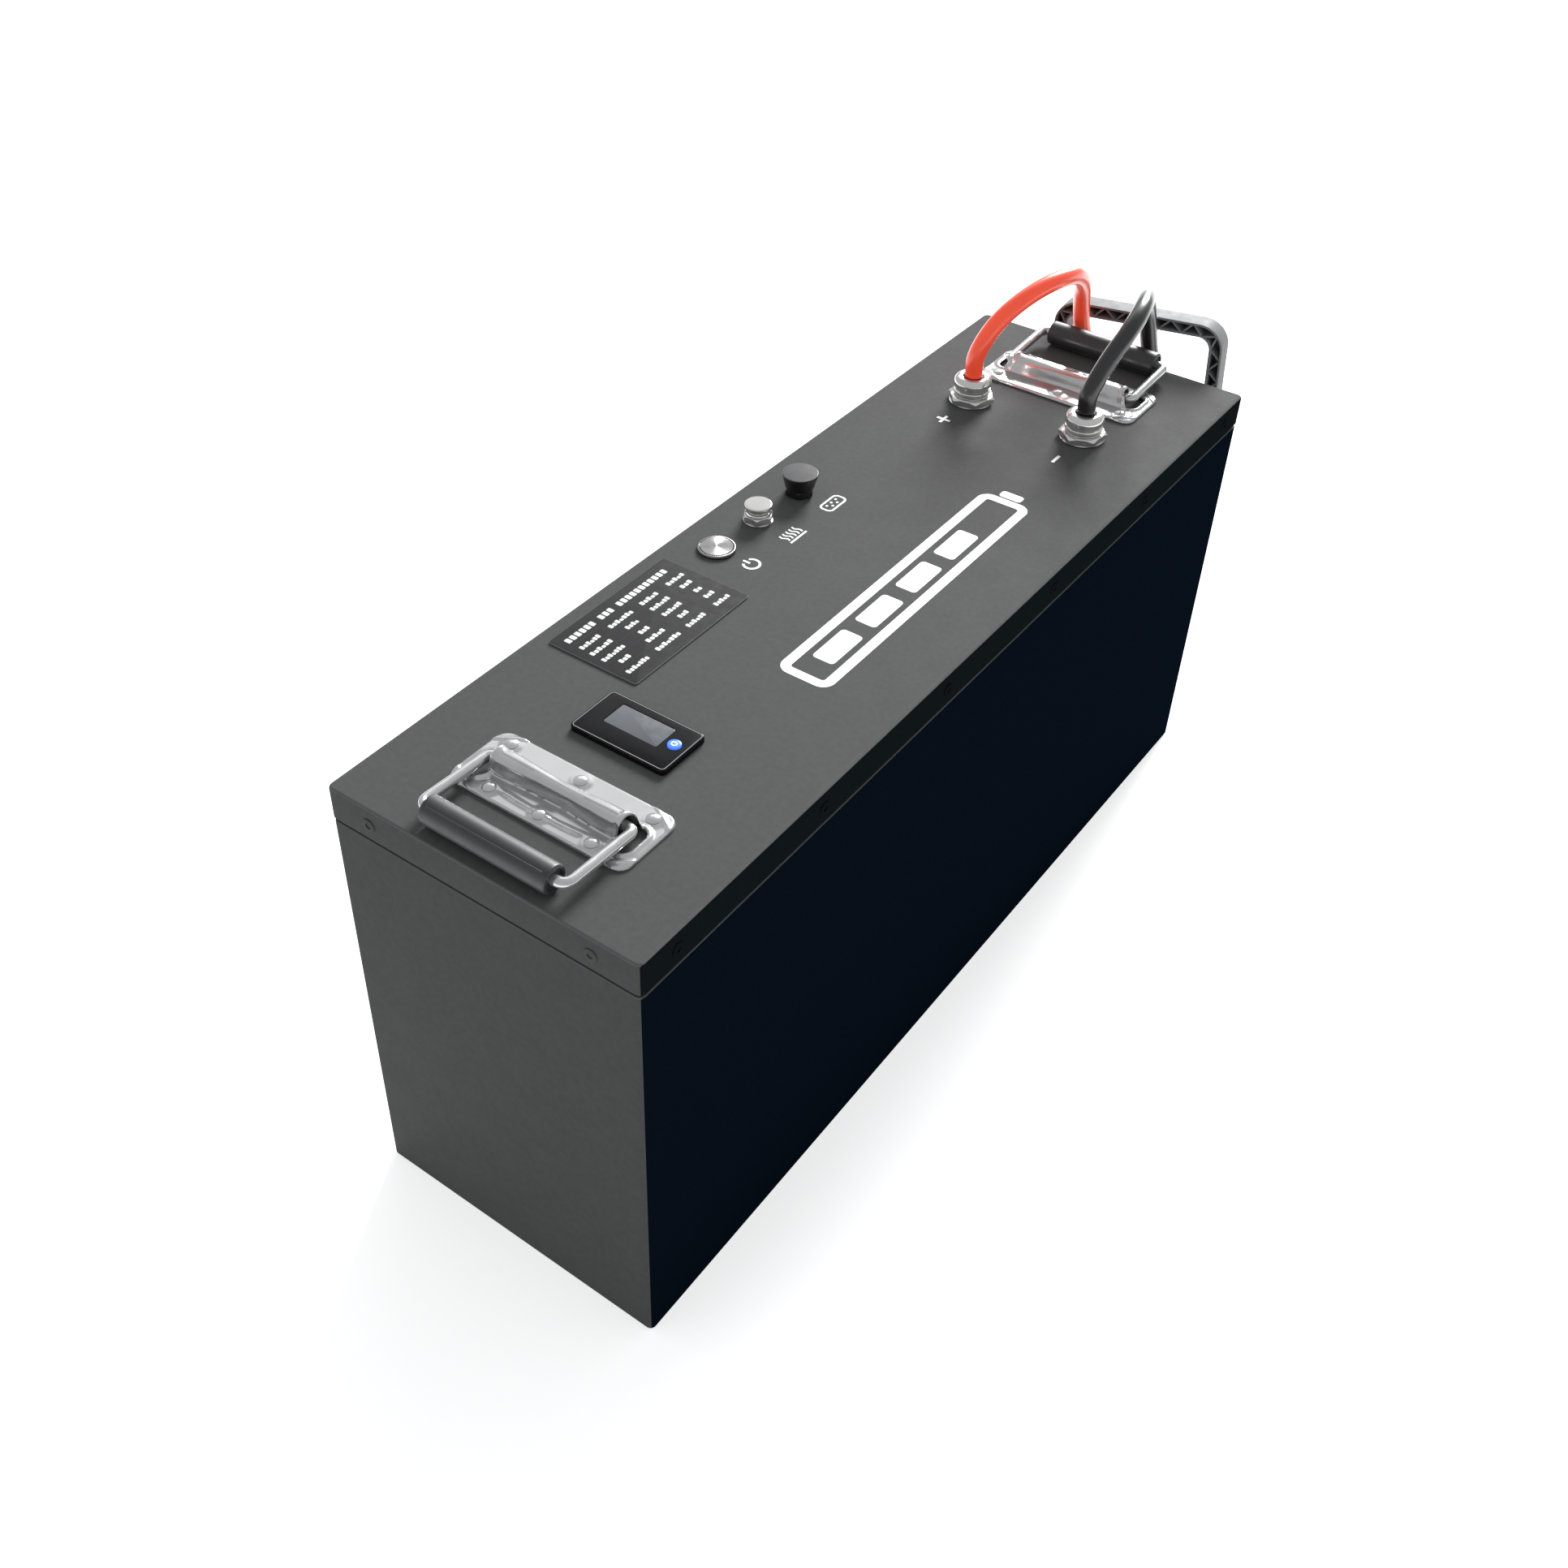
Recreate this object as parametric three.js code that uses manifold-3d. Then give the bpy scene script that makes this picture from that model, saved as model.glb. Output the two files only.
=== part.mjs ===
// Deep cycle battery in a sheet-metal case with a screwed lid, two folding handles,
// a meter, three small fittings and two cables that end in one connector.
// Millimetres, +Z up, +X to the right, +Y towards the cable end.
// Origin: centre of the case's base.
import * as THREE from 'three';
import { mergeVertices } from 'three/addons/utils/BufferGeometryUtils.js';
import Module from 'manifold-3d';

const wasm = await Module();
wasm.setup();

// ---------------------------------------------------------------- driving dimensions

const GAP = 0.3; // clearance between pieces that touch
const OVERCUT = 1; // how far a cutting tool runs past the face it opens
const MELD = 0.5; // how far two shapes of one piece run into each other

const HEIGHT = 296; // floor to the lid's top face
const LID = { width: 200, length: 650, top: 2, skirtSheet: 1.5, skirtDepth: 20.2, corner: 4 };
const BODY = { width: 199.4, length: 649.4, sheet: 2, ledge: 273.6, corner: 3.7 };
const NECK = { width: 196.4, length: 646.4, rim: 291, flange: 12, corner: 2.4 }; // under the skirt
const GASKET = { inset: 1.2, width: 8 };

const LID_SCREW = { z: 285.5, headR: 3.9, headT: 1.3, shaftR: 1.9, holeR: 2.5 };
const SIDE_SCREW_Y = [-298, -179, -60, 60, 179, 298];
const END_SCREW_X = [-71, 71];
const NUT_RAIL = { thick: 3, low: 280.5, high: 288.5, sideLength: 612, endLength: 168 };

const HANDLE_PIVOT_Y = 262.5; // distance of each bail's hinge line from the middle
const PLATE = { width: 115, depth: 46, thick: 1.8, corner: 8 };
const RIDGE = { halfLength: 55, radius: 6.5, axisZ: 6, pocketR: 5, pocketHalf: 35, holeR: 3.35 };
const SLOT = { inner: 42, outer: 51, back: -3.6 };
const BAIL = { armX: 46.5, reach: 50, gripZ: 8.6, rodR: 3, stubX: 20, cornerBend: 6, stubBend: 4.4 };
const GRIP = { radius: 8, halfLength: 40 };
const PLATE_BOLTS = [[-46, -15], [0, -15], [46, -15], [-33, 16], [0, 16], [33, 16]];
const PLATE_BOLT = { headR: 4, headT: 1.6, shaftR: 2, holeR: 2.7 };
const BACKING = { width: 108, depth: 42, thick: 2 };

const METER = { x: -1.5, y: -201, width: 62, depth: 36, thick: 3.6, corner: 3 };
const METER_BACK = { width: 56, depth: 30, deep: 15 };
const METER_WINDOW = { x: -1.5, y: 3.5, width: 35, depth: 17, thick: 1 };
const METER_BUTTON = { x: 22.5, y: 2, radius: 3.8, proud: 0.7, deep: 2.4 };
const LABEL = { x: -58.6, y: -118.7, width: 62, length: 102.5, thick: 0.8, corner: 2 };

const SWITCH = { x: -71.5, y: -40, bezelR: 11.6, barrelR: 10.8, capR: 9.9, deep: 24, nutAcross: 26 };
const VALVE = { x: -70.6, y: 0.5, hexAcross: 16.7, shankR: 5.8, capR: 8.4, top: 11.8, deep: 12 };
const PORT = {
  x: -68, y: 40.6, hexAcross: 16.4, tubeR: 7, boreR: 5.6, shankR: 7, footR: 9.2, capR: 11.3,
  top: 14.8,
};
const GLAND = {
  hexAcross: 27.6, threadR: 10.4, boreR: 6.6, sealR: 8.8, nutR: 12.6, top: 18.4, deep: 14,
  lockAcross: 26,
};
const GLAND_PLACE = { positive: [-43.6, 207], negative: [38.9, 208.4] };

const CABLE_R = 6;
// Free routes from the gland to the connector. Heights are above the lid's top face.
const POSITIVE_ROUTE = [
  [-43.6, 207, 19.4], [-43.5, 207.4, 31], [-40, 212.2, 44.5], [-35.5, 220.8, 55.5], [-30, 232, 63.8],
  [-24.5, 245, 69.4], [-20, 259, 71.8], [-17.5, 273, 71], [-17, 286.5, 67.2], [-18.5, 299, 60.3],
  [-21.5, 310, 50.8], [-24.5, 318.5, 39.2], [-26.5, 325.2, 26.5], [-26.8, 330, 13], [-25, 334.5, 0],
  [-21.3, 339.5, -13], [-16.5, 345, -25], [-12.4, 349.6, -36], [-10.5, 351.5, -45],
  [-9.9, 351.7, -53.6],
];
const NEGATIVE_ROUTE = [
  [38.9, 208.4, 19.4], [39, 209, 31], [41.2, 216.8, 43.5], [43.8, 225.5, 54.2], [46, 236, 63],
  [46, 249, 69.4], [43.2, 263, 71.7], [38.8, 276.3, 70], [34.2, 289, 65.9], [30, 300.6, 59.2],
  [26.6, 311.2, 50], [24.6, 319.8, 38.8], [24, 326.4, 26.5], [24.3, 331.6, 13.5], [25.4, 336.2, 1],
  [27.4, 341.4, -10], [29.8, 347, -21], [32, 352.5, -32], [33.3, 355.6, -42], [33.8, 356.3, -50.6],
];
const INNER_LEAD = { bend: 50, end: 112, endX: 34, level: 232 };

const CELL = { count: 8, width: 174, thick: 72, body: 204, pitch: 72.5, floor: 5.6 };
const CELL_POST = { x: 61, radius: 8, height: 3 };
const CELL_VENT = { radius: 10, height: 0.6 };
const BASE_PAD_LENGTH = 582;
const END_PLATE = { width: 176, thick: 6, height: 200 };
const STRAP = { thick: 2, height: 20, levels: [60, 160] };
const CARRIER = { width: 176, length: 578, thick: 3, level: 213 };
const BUSBAR = { width: 26, length: 96, thick: 2.5 };
const BMS = { width: 110, length: 220, low: 220, high: 246, fins: 6, groove: 8, finHeight: 6 };

// The connector hangs behind the end wall, a little turned and tipped as the cables leave it.
const CONNECTOR = { x: 12, y: 354, below: 53, yaw: 6, tip: 4 };
const HOUSING = {
  width: 103, depth: 32, shoulder: 12, height: 98, corner: 5, poleX: 22, barrelR: 13.5,
};
const MOUTH = { x: 25.5, width: 36, depth: 20, deep: 38 };
const CONTACT = { width: 24, thick: 3, y: 7, tip: 4 };
const D_HANDLE = { width: 123, top: 77, foot: -45, band: 9.4, depth: 15, outerR: 18, wall: 1.6 };
const D_SCREW = { z: -28, headR: 4.5, headT: 2.5, shaftR: 2.4, holeR: 2.9, reach: 10 };

// ---------------------------------------------------------------- finishes

const FINISH = {
  paint: { color: 0x5f6163, roughness: 0.55, metalness: 0.2 },
  chrome: { color: 0xd9dbdc, roughness: 0.18, metalness: 1 },
  nickel: { color: 0xc4c2bd, roughness: 0.22, metalness: 1 },
  zinc: { color: 0xa9abac, roughness: 0.4, metalness: 1 },
  gripRubber: { color: 0x35363a, roughness: 0.6, metalness: 0 },
  blackRubber: { color: 0x17181a, roughness: 0.7, metalness: 0 },
  blackPlastic: { color: 0x1b1c1e, roughness: 0.4, metalness: 0 },
  greyPlastic: { color: 0x6b6d6e, roughness: 0.5, metalness: 0 },
  glassPanel: { color: 0x56626c, roughness: 0.15, metalness: 0 },
  buttonBlue: { color: 0x2d5bd0, roughness: 0.3, metalness: 0 },
  labelFilm: { color: 0x2c2d2f, roughness: 0.45, metalness: 0 },
  redSheath: { color: 0xe8432c, roughness: 0.35, metalness: 0 },
  blackSheath: { color: 0x17181a, roughness: 0.35, metalness: 0 },
  cellWrap: { color: 0x2f5f9e, roughness: 0.4, metalness: 0.1 },
  aluminium: { color: 0xb4b7ba, roughness: 0.45, metalness: 1 },
  copper: { color: 0xb87545, roughness: 0.35, metalness: 1 },
};

const material = Object.fromEntries(
  Object.entries(FINISH).map(([name, look]) => [name, new THREE.MeshStandardMaterial(look)]),
);

// ---------------------------------------------------------------- solids

function toManifold(geometry) {
  const bare = geometry.clone();
  bare.deleteAttribute('normal');
  bare.deleteAttribute('uv');
  const merged = mergeVertices(bare, 1e-4);
  const mesh = new wasm.Mesh({
    numProp: 3,
    vertProperties: new Float32Array(merged.attributes.position.array),
    triVerts: new Uint32Array(merged.index.array),
  });
  return new wasm.Manifold(mesh);
}

function toGeometry(manifold) {
  const mesh = manifold.getMesh();
  const geometry = new THREE.BufferGeometry();
  geometry.setAttribute('position', new THREE.BufferAttribute(mesh.vertProperties, 3));
  geometry.setIndex(new THREE.BufferAttribute(mesh.triVerts, 1));
  geometry.computeVertexNormals();
  return geometry;
}

function join(...pieces) {
  return toGeometry(pieces.map(toManifold).reduce((whole, piece) => whole.add(piece)));
}

function cut(base, ...tools) {
  const whole = toManifold(base);
  return toGeometry(tools.map(toManifold).reduce((left, tool) => left.subtract(tool), whole));
}

function box(x0, x1, y0, y1, z0, z1) {
  const geometry = new THREE.BoxGeometry(x1 - x0, y1 - y0, z1 - z0);
  return geometry.translate((x0 + x1) / 2, (y0 + y1) / 2, (z0 + z1) / 2);
}

// A cylinder along one axis; centre gives the other two coordinates in x, y, z order.
function cylinder(axis, radius, from, to, centre = [0, 0], sides = 16) {
  const geometry = new THREE.CylinderGeometry(radius, radius, to - from, sides);
  const middle = (from + to) / 2;
  if (axis === 'x') {
    return geometry.rotateZ(-Math.PI / 2).translate(middle, centre[0], centre[1]);
  }
  if (axis === 'y') {
    return geometry.translate(centre[0], middle, centre[1]);
  }
  return geometry.rotateX(Math.PI / 2).translate(centre[0], centre[1], middle);
}

function hexPrism(across, low, high) {
  return cylinder('z', across / Math.sqrt(3), low, high, [0, 0], 6);
}

function roundedRectangle(width, length, radius) {
  const x = width / 2;
  const y = length / 2;
  const shape = new THREE.Shape();
  shape.absarc(x - radius, y - radius, radius, 0, Math.PI / 2);
  shape.absarc(radius - x, y - radius, radius, Math.PI / 2, Math.PI);
  shape.absarc(radius - x, radius - y, radius, Math.PI, 1.5 * Math.PI);
  shape.absarc(x - radius, radius - y, radius, 1.5 * Math.PI, 2 * Math.PI);
  return shape;
}

function slab(width, length, radius, low, high, curveSegments = 1) {
  const options = { depth: high - low, bevelEnabled: false, curveSegments };
  const shape = roundedRectangle(width, length, radius);
  return new THREE.ExtrudeGeometry(shape, options).translate(0, 0, low);
}

// A solid of revolution about Z from [radius, height] pairs, listed from the bottom up outside.
function turned(profile, sides = 24) {
  const points = profile.map(([radius, height]) => new THREE.Vector2(radius, height));
  return new THREE.LatheGeometry(points, sides).rotateX(Math.PI / 2);
}

function ringTurned(profile, sides = 24) {
  return turned([...profile, profile[0]], sides);
}

// A path whose rings sit on its own vertices, so straight stretches cost two rings.
class BentPath extends THREE.Curve {
  constructor(vertices) {
    super();
    this.vertices = vertices;
  }

  getUtoTmapping(u) {
    return u;
  }

  getPoint(t, target = new THREE.Vector3()) {
    const place = t * (this.vertices.length - 1);
    const index = Math.min(Math.floor(place), this.vertices.length - 2);
    return target.lerpVectors(this.vertices[index], this.vertices[index + 1], place - index);
  }

  getTangent(t, target = new THREE.Vector3()) {
    const last = this.vertices.length - 1;
    const index = Math.round(t * last);
    const here = this.vertices[index];
    const ahead = this.vertices[Math.min(index + 1, last)].clone().sub(here).normalize();
    const behind = here.clone().sub(this.vertices[Math.max(index - 1, 0)]).normalize();
    return target.addVectors(ahead, behind).normalize();
  }
}

function sweep(path, radius, sides, steps) {
  const section = new THREE.Shape();
  section.absarc(0, 0, radius, 0, 2 * Math.PI);
  // An arc is drawn with twice curveSegments.
  const options = { steps, extrudePath: path, curveSegments: sides / 2, bevelEnabled: false };
  return new THREE.ExtrudeGeometry(section, options);
}

// A round rod through the corners, with each inner corner bent to its own radius.
function bentRod(corners, bends, radius, sides = 8, arcSteps = 4) {
  const points = corners.map((corner) => new THREE.Vector3(...corner));
  const vertices = [points[0]];
  for (let i = 1; i < points.length - 1; i += 1) {
    const back = points[i - 1].clone().sub(points[i]).normalize().multiplyScalar(bends[i - 1]);
    const on = points[i + 1].clone().sub(points[i]).normalize().multiplyScalar(bends[i - 1]);
    const start = points[i].clone().add(back);
    const finish = points[i].clone().add(on);
    const bend = new THREE.QuadraticBezierCurve3(start, points[i], finish);
    vertices.push(...bend.getPoints(arcSteps));
  }
  vertices.push(points[points.length - 1]);
  return sweep(new BentPath(vertices), radius, sides, vertices.length - 1);
}

function cable(route, sides = 10) {
  const points = route.map(([x, y, z]) => new THREE.Vector3(x, y, z));
  const curve = new THREE.CatmullRomCurve3(points, false, 'centripetal');
  return sweep(curve, CABLE_R, sides, route.length);
}

const battery = new THREE.Group();

function add(name, geometry, look, parent = battery) {
  const mesh = new THREE.Mesh(geometry, look);
  mesh.name = name;
  parent.add(mesh);
  return mesh;
}

function groupAt(x, y, z, parent = battery) {
  const group = new THREE.Group();
  group.position.set(x, y, z);
  parent.add(group);
  return group;
}

// ---------------------------------------------------------------- case, lid and lid screws

// The hole cutters for every lid screw, through the lid's skirt and the case wall.
function lidScrewCutters() {
  const { z, holeR } = LID_SCREW;
  const sideIn = NECK.width / 2 - BODY.sheet - OVERCUT;
  const endIn = NECK.length / 2 - BODY.sheet - OVERCUT;
  const cutters = [];
  for (const side of [-1, 1]) {
    const reachX = [side * sideIn, side * (LID.width / 2 + OVERCUT)].sort((a, b) => a - b);
    const reachY = [side * endIn, side * (LID.length / 2 + OVERCUT)].sort((a, b) => a - b);
    SIDE_SCREW_Y.forEach((y) => cutters.push(cylinder('x', holeR, ...reachX, [y, z], 6)));
    END_SCREW_X.forEach((x) => cutters.push(cylinder('y', holeR, ...reachY, [x, z], 6)));
  }
  return cutters;
}

// A box flush with the lid's skirt, stepped in under it to a neck with an inward flange.
function caseBody() {
  const { width, length, sheet, ledge, corner } = BODY;
  const { rim, flange } = NECK;
  const outer = join(
    slab(width, length, corner, 0, ledge),
    slab(NECK.width, NECK.length, NECK.corner, ledge - OVERCUT, rim),
  );
  const inside = slab(width - 2 * sheet, length - 2 * sheet, corner - sheet, sheet, ledge - sheet);
  const neckWidth = NECK.width - 2 * sheet;
  const neckLength = NECK.length - 2 * sheet;
  const neck = slab(neckWidth, neckLength, 1, ledge - sheet - OVERCUT, rim - sheet);
  const mouth = slab(
    NECK.width - 2 * flange, NECK.length - 2 * flange, 3, rim - 2 * sheet, rim + OVERCUT,
  );
  return cut(outer, inside, neck, mouth, ...lidScrewCutters());
}

function lidGasket() {
  const { width, length, rim, corner } = NECK;
  const outerWidth = width - 2 * GASKET.inset;
  const outerLength = length - 2 * GASKET.inset;
  const low = rim + GAP;
  const high = HEIGHT - LID.top - GAP;
  const hole = slab(
    outerWidth - 2 * GASKET.width, outerLength - 2 * GASKET.width, corner, low - OVERCUT, high + OVERCUT,
  );
  return cut(slab(outerWidth, outerLength, corner, low, high), hole);
}

// Cutters for everything that passes through the lid's top.
function lidTopCutters() {
  const low = HEIGHT - LID.top - OVERCUT;
  const high = HEIGHT + OVERCUT;
  const round = (x, y, radius, sides) => cylinder('z', radius, low, high, [x, y], sides);
  const cutters = [
    round(SWITCH.x, SWITCH.y, SWITCH.barrelR + GAP, 20),
    round(VALVE.x, VALVE.y, VALVE.shankR + GAP, 20),
    round(PORT.x, PORT.y, PORT.shankR + GAP, 20),
    slab(METER_BACK.width + 1, METER_BACK.depth + 1, 1, low, high).translate(METER.x, METER.y, 0),
  ];
  for (const [x, y] of Object.values(GLAND_PLACE)) {
    cutters.push(round(x, y, GLAND.threadR + 2 * GAP, 20));
  }
  for (const end of [-1, 1]) {
    for (const [x, y] of PLATE_BOLTS) {
      cutters.push(round(end * -x, end * (HANDLE_PIVOT_Y + y), PLATE_BOLT.holeR, 6));
    }
  }
  return cutters;
}

function lid() {
  const { width, length, top, skirtSheet, skirtDepth, corner } = LID;
  const outer = slab(width, length, corner, HEIGHT - skirtDepth, HEIGHT);
  const innerWidth = width - 2 * skirtSheet;
  const innerLength = length - 2 * skirtSheet;
  const inside = slab(
    innerWidth, innerLength, corner - skirtSheet, HEIGHT - skirtDepth - OVERCUT, HEIGHT - top,
  );
  return cut(outer, inside, ...lidScrewCutters(), ...lidTopCutters());
}

// One side's screws with the threaded rail that they pull up, drawn along X and facing +Y.
function screwRail(wallFace, skirtFace, length, places) {
  const { z, headR, headT, shaftR } = LID_SCREW;
  const outer = wallFace - BODY.sheet - GAP;
  const inner = outer - NUT_RAIL.thick;
  const headFrom = skirtFace + GAP;
  const pieces = [box(-length / 2, length / 2, inner, outer, NUT_RAIL.low, NUT_RAIL.high)];
  for (const x of places) {
    pieces.push(cylinder('y', shaftR, outer - MELD, headFrom + MELD, [x, z], 6));
    pieces.push(cylinder('y', headR, headFrom, headFrom + headT, [x, z], 8));
  }
  return join(...pieces);
}

function addShell() {
  add('case_body', caseBody(), material.paint);
  add('lid', lid(), material.paint);
  add('lid_gasket', lidGasket(), material.blackRubber);
  const sideRail = () => screwRail(NECK.width / 2, LID.width / 2, NUT_RAIL.sideLength, SIDE_SCREW_Y);
  const endRail = () => screwRail(NECK.length / 2, LID.length / 2, NUT_RAIL.endLength, END_SCREW_X);
  add('lid_screws_left', sideRail(), material.paint).rotation.z = Math.PI / 2;
  add('lid_screws_right', sideRail(), material.paint).rotation.z = -Math.PI / 2;
  add('lid_screws_rear', endRail(), material.paint);
  add('lid_screws_front', endRail(), material.paint).rotation.z = Math.PI;
}

// ---------------------------------------------------------------- folding handles

// Stamped plate with a hollow ridge over the hinge line and a slot for each arm of the bail.
function handlePlate() {
  const { halfLength, radius, axisZ, pocketR, pocketHalf, holeR } = RIDGE;
  const low = GAP;
  const base = slab(PLATE.width, PLATE.depth, PLATE.corner, low, low + PLATE.thick, 2);
  const crest = cylinder('x', radius, -halfLength, halfLength, [0, axisZ], 16);
  const skirt = box(-halfLength, halfLength, -radius, radius, low, axisZ);
  const cutters = [
    cylinder('x', holeR, -SLOT.outer, SLOT.outer, [0, axisZ], 12),
    cylinder('x', pocketR, -pocketHalf, pocketHalf, [0, axisZ], 12),
    box(-halfLength - OVERCUT, halfLength + OVERCUT, -radius - OVERCUT, radius + OVERCUT, -radius, low),
  ];
  for (const side of [-1, 1]) {
    const reach = [side * SLOT.inner, side * SLOT.outer].sort((a, b) => a - b);
    const slotFloor = low + PLATE.thick + GAP;
    cutters.push(box(...reach, SLOT.back, radius + OVERCUT, slotFloor, axisZ + radius + OVERCUT));
  }
  for (const [x, y] of PLATE_BOLTS) {
    cutters.push(cylinder('z', PLATE_BOLT.holeR, -OVERCUT, low + PLATE.thick + OVERCUT, [x, y], 6));
  }
  return cut(join(base, crest, skirt), ...cutters);
}

// The plate inside the lid with the six bolts that come up through it.
function handleBacking() {
  const { headR, headT, shaftR } = PLATE_BOLT;
  const top = -LID.top - GAP;
  const headLow = GAP + PLATE.thick + GAP;
  const pieces = [slab(BACKING.width, BACKING.depth, 3, top - BACKING.thick, top)];
  for (const [x, y] of PLATE_BOLTS) {
    pieces.push(cylinder('z', shaftR, top - MELD, headLow + MELD, [x, y], 6));
    pieces.push(cylinder('z', headR, headLow, headLow + headT, [x, y], 8));
  }
  return join(...pieces);
}

function handleBail() {
  const { armX, reach, gripZ, rodR, stubX, cornerBend, stubBend } = BAIL;
  const corners = [
    [stubX, 0, RIDGE.axisZ], [armX, 0, RIDGE.axisZ], [armX, reach, gripZ],
    [-armX, reach, gripZ], [-armX, 0, RIDGE.axisZ], [-stubX, 0, RIDGE.axisZ],
  ];
  return bentRod(corners, [stubBend, cornerBend, cornerBend, stubBend], rodR);
}

function handleGrip() {
  const centre = [BAIL.reach, BAIL.gripZ];
  const { radius, halfLength } = GRIP;
  const bore = cylinder('x', BAIL.rodR + GAP, -halfLength - OVERCUT, halfLength + OVERCUT, centre, 12);
  return cut(cylinder('x', radius, -halfLength, halfLength, centre, 20), bore);
}

// Return spring: a coil round one stub of the bail, inside the ridge.
function handleSpring() {
  const turns = 3;
  const stepsPerTurn = 8;
  const coilR = 4.15;
  const wireR = 0.55;
  const from = BAIL.stubX + 2;
  const pitch = 3.6;
  const vertices = [];
  for (let i = 0; i <= turns * stepsPerTurn; i += 1) {
    const angle = (2 * Math.PI * i) / stepsPerTurn;
    const x = from + (pitch * i) / stepsPerTurn;
    vertices.push(new THREE.Vector3(x, coilR * Math.cos(angle), RIDGE.axisZ + coilR * Math.sin(angle)));
  }
  return sweep(new BentPath(vertices), wireR, 4, vertices.length - 1);
}

function addHandle(end, pivotY, turn) {
  const group = groupAt(0, pivotY, HEIGHT);
  group.rotation.z = turn;
  add(`${end}_handle_plate`, handlePlate(), material.chrome, group);
  add(`${end}_handle_backing_plate`, handleBacking(), material.zinc, group);
  add(`${end}_handle_bail`, handleBail(), material.chrome, group);
  add(`${end}_handle_grip`, handleGrip(), material.gripRubber, group);
  add(`${end}_handle_spring`, handleSpring(), material.zinc, group);
}

// ---------------------------------------------------------------- meter and label

function meterHousing() {
  const { width, depth, thick, corner } = METER;
  const face = slab(width, depth, corner, GAP, thick, 2);
  const back = box(
    -METER_BACK.width / 2, METER_BACK.width / 2, -METER_BACK.depth / 2, METER_BACK.depth / 2,
    -METER_BACK.deep, GAP + MELD,
  );
  const { x, y } = METER_WINDOW;
  const halfWidth = METER_WINDOW.width / 2 + GAP;
  const halfDepth = METER_WINDOW.depth / 2 + GAP;
  const windowFloor = thick - METER_WINDOW.thick - GAP;
  const recess = box(
    x - halfWidth, x + halfWidth, y - halfDepth, y + halfDepth, windowFloor, thick + OVERCUT,
  );
  const button = METER_BUTTON;
  const bore = cylinder(
    'z', button.radius + GAP, thick - button.deep - 1, thick + OVERCUT, [button.x, button.y], 16,
  );
  return cut(join(face, back), recess, bore);
}

function meterWindow() {
  const { x, y, width, depth, thick } = METER_WINDOW;
  const high = METER.thick - 0.1;
  return box(x - width / 2, x + width / 2, y - depth / 2, y + depth / 2, high - thick, high);
}

function meterButton() {
  const { x, y, radius, proud, deep } = METER_BUTTON;
  const top = METER.thick + proud;
  const low = METER.thick - deep;
  const bevel = 0.4;
  const profile = [[0, low], [radius, low], [radius, top - bevel], [radius - bevel, top], [0, top]];
  return turned(profile, 16).translate(x, y, 0);
}

function addMeterAndLabel() {
  const group = groupAt(METER.x, METER.y, HEIGHT);
  add('meter_housing', meterHousing(), material.blackPlastic, group);
  add('meter_window', meterWindow(), material.glassPanel, group);
  add('meter_power_button', meterButton(), material.buttonBlue, group);
  const plate = slab(LABEL.width, LABEL.length, LABEL.corner, GAP, GAP + LABEL.thick);
  add('label_plate', plate, material.labelFilm, groupAt(LABEL.x, LABEL.y, HEIGHT));
}

// ---------------------------------------------------------------- switch, relief valve, data port

// A hexagonal nut under the lid, clear of the shank that it holds.
function panelNut(across, shankR, thick) {
  const top = -LID.top - GAP;
  const bore = cylinder('z', shankR + GAP, top - thick - OVERCUT, top + OVERCUT, [0, 0], 16);
  return cut(hexPrism(across, top - thick, top), bore);
}

function addSwitch() {
  const { x, y, bezelR, barrelR, capR, deep, nutAcross } = SWITCH;
  const group = groupAt(x, y, HEIGHT);
  const boreR = capR + GAP;
  const boreFloor = -6;
  const profile = [
    [0, -deep], [barrelR, -deep], [barrelR, GAP], [bezelR, GAP], [bezelR, 1.5],
    [bezelR - 0.8, 2.2], [boreR, 2.2], [boreR, boreFloor], [0, boreFloor],
  ];
  add('switch_body', turned(profile, 20), material.nickel, group);
  const cap = [[0, -3], [capR, -3], [capR, 2.2], [capR - 0.6, 2.6], [0, 2.9]];
  add('switch_cap', turned(cap, 20), material.nickel, group);
  add('switch_nut', panelNut(nutAcross, barrelR, 3.5), material.zinc, group);
}

function addReliefValve() {
  const { x, y, hexAcross, shankR, capR, top, deep } = VALVE;
  const group = groupAt(x, y, HEIGHT);
  const hexTop = 5;
  const collarTop = 7;
  const neckTop = 8.7;
  const stemR = 2.6;
  const stemLow = -8;
  const shank = cylinder('z', shankR, -deep, hexTop, [0, 0], 20);
  const turnedUpper = turned([
    [0, hexTop - MELD], [capR - 0.3, hexTop - MELD], [capR - 0.6, collarTop],
    [shankR + MELD, collarTop], [shankR + MELD, neckTop], [0, neckTop],
  ], 20);
  const bore = cylinder('z', stemR + GAP, -deep - OVERCUT, neckTop + OVERCUT, [0, 0], 16);
  const body = cut(join(hexPrism(hexAcross, GAP, hexTop), shank, turnedUpper), bore);
  add('relief_valve_body', body, material.nickel, group);
  const capLow = neckTop + GAP;
  const profile = [
    [0, stemLow], [stemR, stemLow], [stemR, capLow], [capR - 0.5, capLow], [capR, capLow + 0.5],
    [capR, top - 0.7], [capR - 0.7, top], [0, top],
  ];
  add('relief_valve_cap', turned(profile, 20), material.nickel, group);
  add('relief_valve_nut', panelNut(hexAcross, shankR, 3), material.zinc, group);
}

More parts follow.
